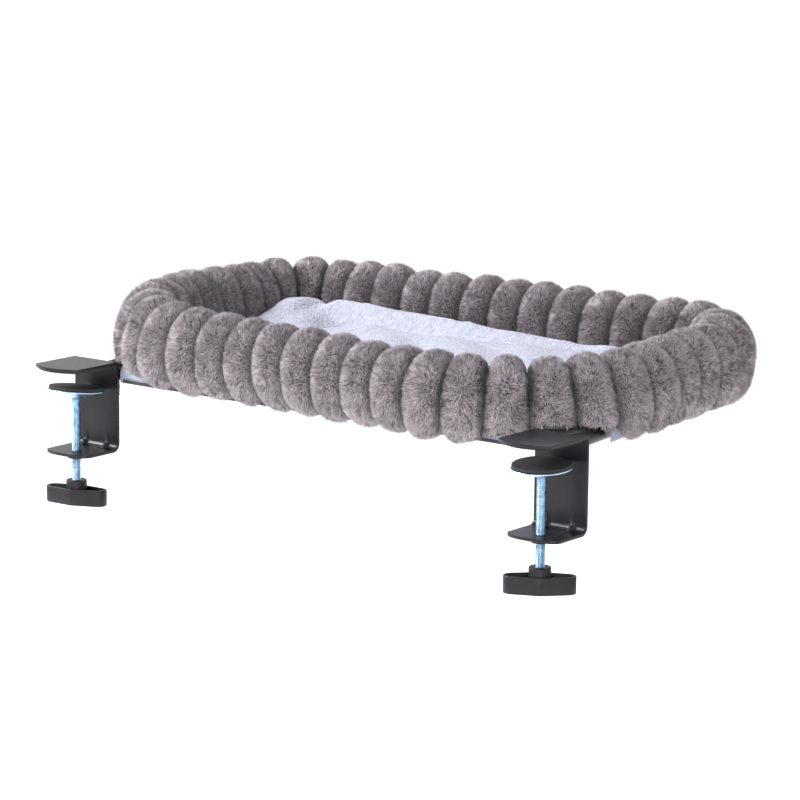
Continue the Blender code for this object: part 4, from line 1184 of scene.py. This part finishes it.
def stored(tree, name, kind):
    """An attribute that the skin carries."""
    return add(tree, "GeometryNodeInputNamedAttribute", {"Name": name}, data_type=kind).outputs["Attribute"]


def chance(tree, seed, low, high):
    """A random number for each hair."""
    return add(tree, "FunctionNodeRandomValue", {2: low, 3: high, "Seed": seed}, data_type="FLOAT").outputs[1]


def keep_on_points(tree, points, name, value, kind):
    """Points that carry one more attribute."""
    inputs = {"Geometry": points, "Name": name, "Value": value}
    return add(tree, "GeometryNodeStoreNamedAttribute", inputs, data_type=kind, domain="POINT").outputs[0]


def fur_tree():
    """Blades over a surface: named inputs for how dense, long, wide and unruly they are."""
    floats = ["Density", "Length", "Width", "Swirl Size", "Swirl", "Tuft Size", "Tuft", "Spread", "Droop"]
    whole = ["First Lobe", "Last Lobe", "Seed"]
    kinds = {"Geometry": ["Geometry"], "Object": ["Blade"], "Float": floats, "Int": whole, "Material": ["Finish"]}
    tree, given = new_tree("pile", **kinds)
    lobe = stored(tree, "lobe", "INT")
    ends = (("GREATER_EQUAL", "First Lobe"), ("LESS_EQUAL", "Last Lobe"))
    after, before = [
        add(tree, "FunctionNodeCompare", {2: lobe, 3: given[end]}, data_type="INT", operation=test).outputs[0]
        for test, end in ends
    ]
    among = add(tree, "FunctionNodeBooleanMath", {0: after, 1: before}, operation="AND").outputs[0]
    buried = stored(tree, "buried", "BOOLEAN")
    furred = add(tree, "FunctionNodeBooleanMath", {0: among, 1: buried}, operation="NIMPLY").outputs[0]
    inputs = {"Mesh": given["Geometry"], "Selection": furred, "Density": given["Density"], "Seed": given["Seed"]}
    scattered = add(tree, "GeometryNodeDistributePointsOnFaces", inputs).outputs
    place = add(tree, "GeometryNodeInputPosition").outputs[0]
    way = stored(tree, "combed", "FLOAT_VECTOR")
    for name in ("Swirl", "Tuft"):
        finer = calc(tree, "DIVIDE", 1.0, given[f"{name} Size"])
        field = add(tree, "ShaderNodeTexNoise", {"Vector": place, "Scale": finer, "Detail": 1.0}).outputs["Color"]
        centred = vector_calc(tree, "SUBTRACT", field, (0.5, 0.5, 0.5))
        way = vector_calc(tree, "ADD", way, vector_calc(tree, "SCALE", centred, given[name]))
    limits = {0: (-1, -1, -1), 1: (1, 1, 1), "Seed": 5}
    loose = add(tree, "FunctionNodeRandomValue", limits, data_type="FLOAT_VECTOR").outputs[0]
    way = vector_calc(tree, "ADD", way, vector_calc(tree, "SCALE", loose, given["Spread"]))
    way = vector_calc(tree, "SUBTRACT", way, join(tree, Z=given["Droop"]))
    facing = add(tree, "FunctionNodeAlignRotationToVector", {"Vector": way}, axis="Z").outputs[0]
    spin = {"Rotation": facing, "Rotate By": join(tree, Z=chance(tree, 9, -math.pi, math.pi))}
    turned = add(tree, "FunctionNodeRotateRotation", spin, rotation_space="LOCAL").outputs[0]
    tall = calc(tree, "MULTIPLY", chance(tree, 3, 0.75, 1.05), given["Length"])
    tall = calc(tree, "MULTIPLY", tall, remap(tree, stored(tree, "crest", "FLOAT"), 0.45, 1.0))
    size = join(tree, X=given["Width"], Y=tall, Z=tall)
    roots = keep_on_points(tree, scattered["Points"], "skin_normal", scattered["Normal"], "FLOAT_VECTOR")
    roots = keep_on_points(tree, roots, "shade", chance(tree, 17, 0.0, 1.0), "FLOAT")
    blade_form = add(tree, "GeometryNodeObjectInfo", {"Object": given["Blade"]}).outputs["Geometry"]
    inputs = {"Points": roots, "Instance": blade_form, "Rotation": turned, "Scale": size}
    placed = add(tree, "GeometryNodeInstanceOnPoints", inputs).outputs[0]
    return end_tree(tree, placed, given["Finish"])


def hair_finish(name, root, middle, tip, dark, light, patch):
    """Fine matt hair that varies from hair to hair and tuft to tuft. Painted shade darkens the roots and the hairs
    near the creases and on the inner side, and a painted highlight makes the tips paler.
    """
    made, tree, shader = new_material(name, Roughness=0.9, Specular_IOR_Level=0.1)
    along, shade, crest, skin_way = [
        add(tree, "ShaderNodeAttribute", attribute_name=stored_name)
        for stored_name in ("tip", "shade", "crest", "skin_normal")
    ]
    # The darker root is painted shade deep in the pile, and the paler tip is a painted highlight.
    colour = ramp(tree, along.outputs["Fac"], ((0.0, root), (0.5, middle), (1.0, tip)))
    # Painted shade: the hair's colour darkens towards the creases and the inner side as the crest share falls.
    crease_shade = remap(tree, crest.outputs["Fac"], 0.28, 1.0, 0.0, 0.85)
    tone_and_crease_shade = calc(tree, "MULTIPLY", remap(tree, shade.outputs["Fac"], dark, light), crease_shade)
    cloudy = remap(tree, grain(tree, object_place(tree), patch), 0.9, 1.08, 0.3, 0.7)
    shaded = vector_calc(tree, "SCALE", colour, calc(tree, "MULTIPLY", tone_and_crease_shade, cloudy))
    tree.links.new(shaded, shader.inputs["Base Color"])
    own_way = add(tree, "ShaderNodeNewGeometry").outputs["Normal"]
    ways = {"Factor": 0.85, 4: own_way, 5: skin_way.outputs["Vector"]}
    mixed = add(tree, "ShaderNodeMix", ways, data_type="VECTOR").outputs[1]
    tree.links.new(vector_calc(tree, "NORMALIZE", mixed), shader.inputs["Normal"])
    return made


FUR_TREE = fur_tree()
# Root, middle and tip colours, with painted shade at the root and a painted highlight at the tip; 0.78 to 1.2 is the
# random tone from hair to hair.
FUR = hair_finish("grey_acrylic_plush", "B2A7AE", "E2D7DE", "FDF7FB", 0.78, 1.2, 14 * MM)
print("fur nodes:", len(FUR_TREE.nodes))

# %% Grow the bolster's fur
blade = bpy.data.objects.new("blade", blade_mesh())
bpy.context.scene.collection.objects.link(blade)
PARTS = 10
PILE_SIZES = {
    "Blade": blade,
    "Density": 2_800_000.0,
    "Length": PILE,
    "Width": 0.55 * MM,
    "Swirl Size": 16 * MM,
    "Swirl": 1.4,
    "Tuft Size": 5 * MM,
    "Tuft": 1.0,
    "Spread": 0.24,
    "Droop": 0.08,
    "Finish": FUR,
}
for part in range(PARTS):
    first = round(part * LOBES / PARTS)
    last = round((part + 1) * LOBES / PARTS) - 1
    values = {**PILE_SIZES, "First Lobe": first, "Last Lobe": last, "Seed": part}
    fur_mesh = grown(FUR_TREE, values, skin_mesh.copy())
    fur = piece(f"bolster_fur_{part + 1}", fur_mesh, None, "bed", ["bolster"], 0)
    print(fur.name, len(fur_mesh.polygons), "faces")
bpy.data.objects.remove(blade)

# %% [markdown]
# ## Fleece pad
# A loose mat of sherpa fleece fills the ring. It is crowned in the middle and has soft folds, and along its back
# left it is pushed up into a roll, with a valley in front of it. Its form is drawn by a rule, and cloth simulation
# puffs it up a little.

# %% Pad form
PAD_START = 0.033
PAD_BOTTOM_Z = -0.0032
PAD_EDGE = 0.0195
PAD_CENTRE = Vector((RING_X, 0.144))
PAD_SHORTEST = 0.145 - PAD_START
PAD_SIDES, PAD_ROWS = 220, 40
CROWN, CROWN_RUN = 0.004, 0.09
ROLL, ROLL_AT, ROLL_WIDE = 0.015, 0.012, 0.012
NOTCH, NOTCH_X, NOTCH_WIDE = 0.4, -0.185, 0.006
VALLEY, VALLEY_AT, VALLEY_WIDE = 0.011, 0.037, 0.006
FOLD, FOLD_PITCH = 0.002, 0.085
BACK_FROM, BACK_OVER = 0.165, 0.05
LEFT_FROM = 0.35


def hill(distance, width):
    """1 at no distance, and falling away smoothly over about this width."""
    return math.exp(-((distance / width) ** 2))


def pad_height(x, y, inward):
    """How high the fleece lies above its underside."""
    centre_share = min(1, inward / CROWN_RUN)
    crown = CROWN * (1 - (1 - centre_share) ** 2)
    left = min(1, max(0, LEFT_FROM - (x - RING_X) / RING_HALF))
    back = min(1, max(0, (y - BACK_FROM) / BACK_OVER))
    roll = ROLL * hill(max(0, inward - ROLL_AT), ROLL_WIDE) * (1 - NOTCH * hill(x - NOTCH_X, NOTCH_WIDE))
    valley = VALLEY * hill(inward - VALLEY_AT, VALLEY_WIDE)
    fold = FOLD * math.sin(2 * math.pi * (x + y) / FOLD_PITCH) * centre_share
    return PAD_EDGE + crown + (roll * (0.45 + 0.55 * left) - valley * left) * back + fold


def pad_mesh():
    """The mat as a stack of rings: two for its underside and edge, and then its upper side, edge to middle."""
    edge = [p for p, _ in spread(ring_loop(-PAD_START), evenly(PAD_SIDES))]
    points = []
    for share, rise in ((0.965, 0), (1.01, 0.006)):
        ring = [PAD_CENTRE + (p - PAD_CENTRE) * share for p in edge]
        points += [(here.x, here.y, PAD_BOTTOM_Z + rise) for here in ring]
    for row in range(PAD_ROWS + 1):
        share = 1 - 0.98 * (1 - math.cos(math.pi / 2 * row / PAD_ROWS))
        for p in edge:
            here = PAD_CENTRE + (p - PAD_CENTRE) * share
            lump = pucker(here.x, here.y, 0, 0.03, 0.0016) + pucker(here.x, here.y, 5, 0.012, 0.0007)
            height = pad_height(here.x, here.y, PAD_SHORTEST * (1 - share)) + lump
            points.append((here.x, here.y, PAD_BOTTOM_Z + height - (0 if row else 0.004)))
    rings = PAD_ROWS + 3
    return closed_mesh("fleece_form", points, stack_faces(rings, PAD_SIDES) + end_faces(rings, PAD_SIDES))


def sherpa():
    """Sherpa fleece: white polyester curls, faintly blue, in knots about 2.5 mm across."""
    made, tree, shader = new_material("white_sherpa_fleece", Roughness=1.0, Sheen_Weight=0.1, Sheen_Roughness=0.6)
    place = object_place(tree)
    soft = grain(tree, place, 6 * MM, 4)
    paint(tree, shader, soft, "9C9EB0", "B3B5C4")
    bump(tree, shader, calc(tree, "ADD", cells(tree, place, 2.5 * MM), soft), 1.0 * MM)
    return made


fleece = piece("fleece_mat", pad_mesh(), sherpa(), "bed", ["fleece_pad"], 0)
modify(fleece, "remesh", "REMESH", voxel_size=0.004)
finish_modifiers(fleece)
inflate(fleece, coordinates(fleece.data)[:, 2] < PAD_BOTTOM_Z + 0.003, 0.003)
modify(fleece, "calm", "SMOOTH", iterations=2)
modify(fleece, "finer", "SUBSURF", levels=1)
finish_modifiers(fleece)
fleece.data.shade_smooth()
print("fleece:", len(fleece.data.polygons), "faces")
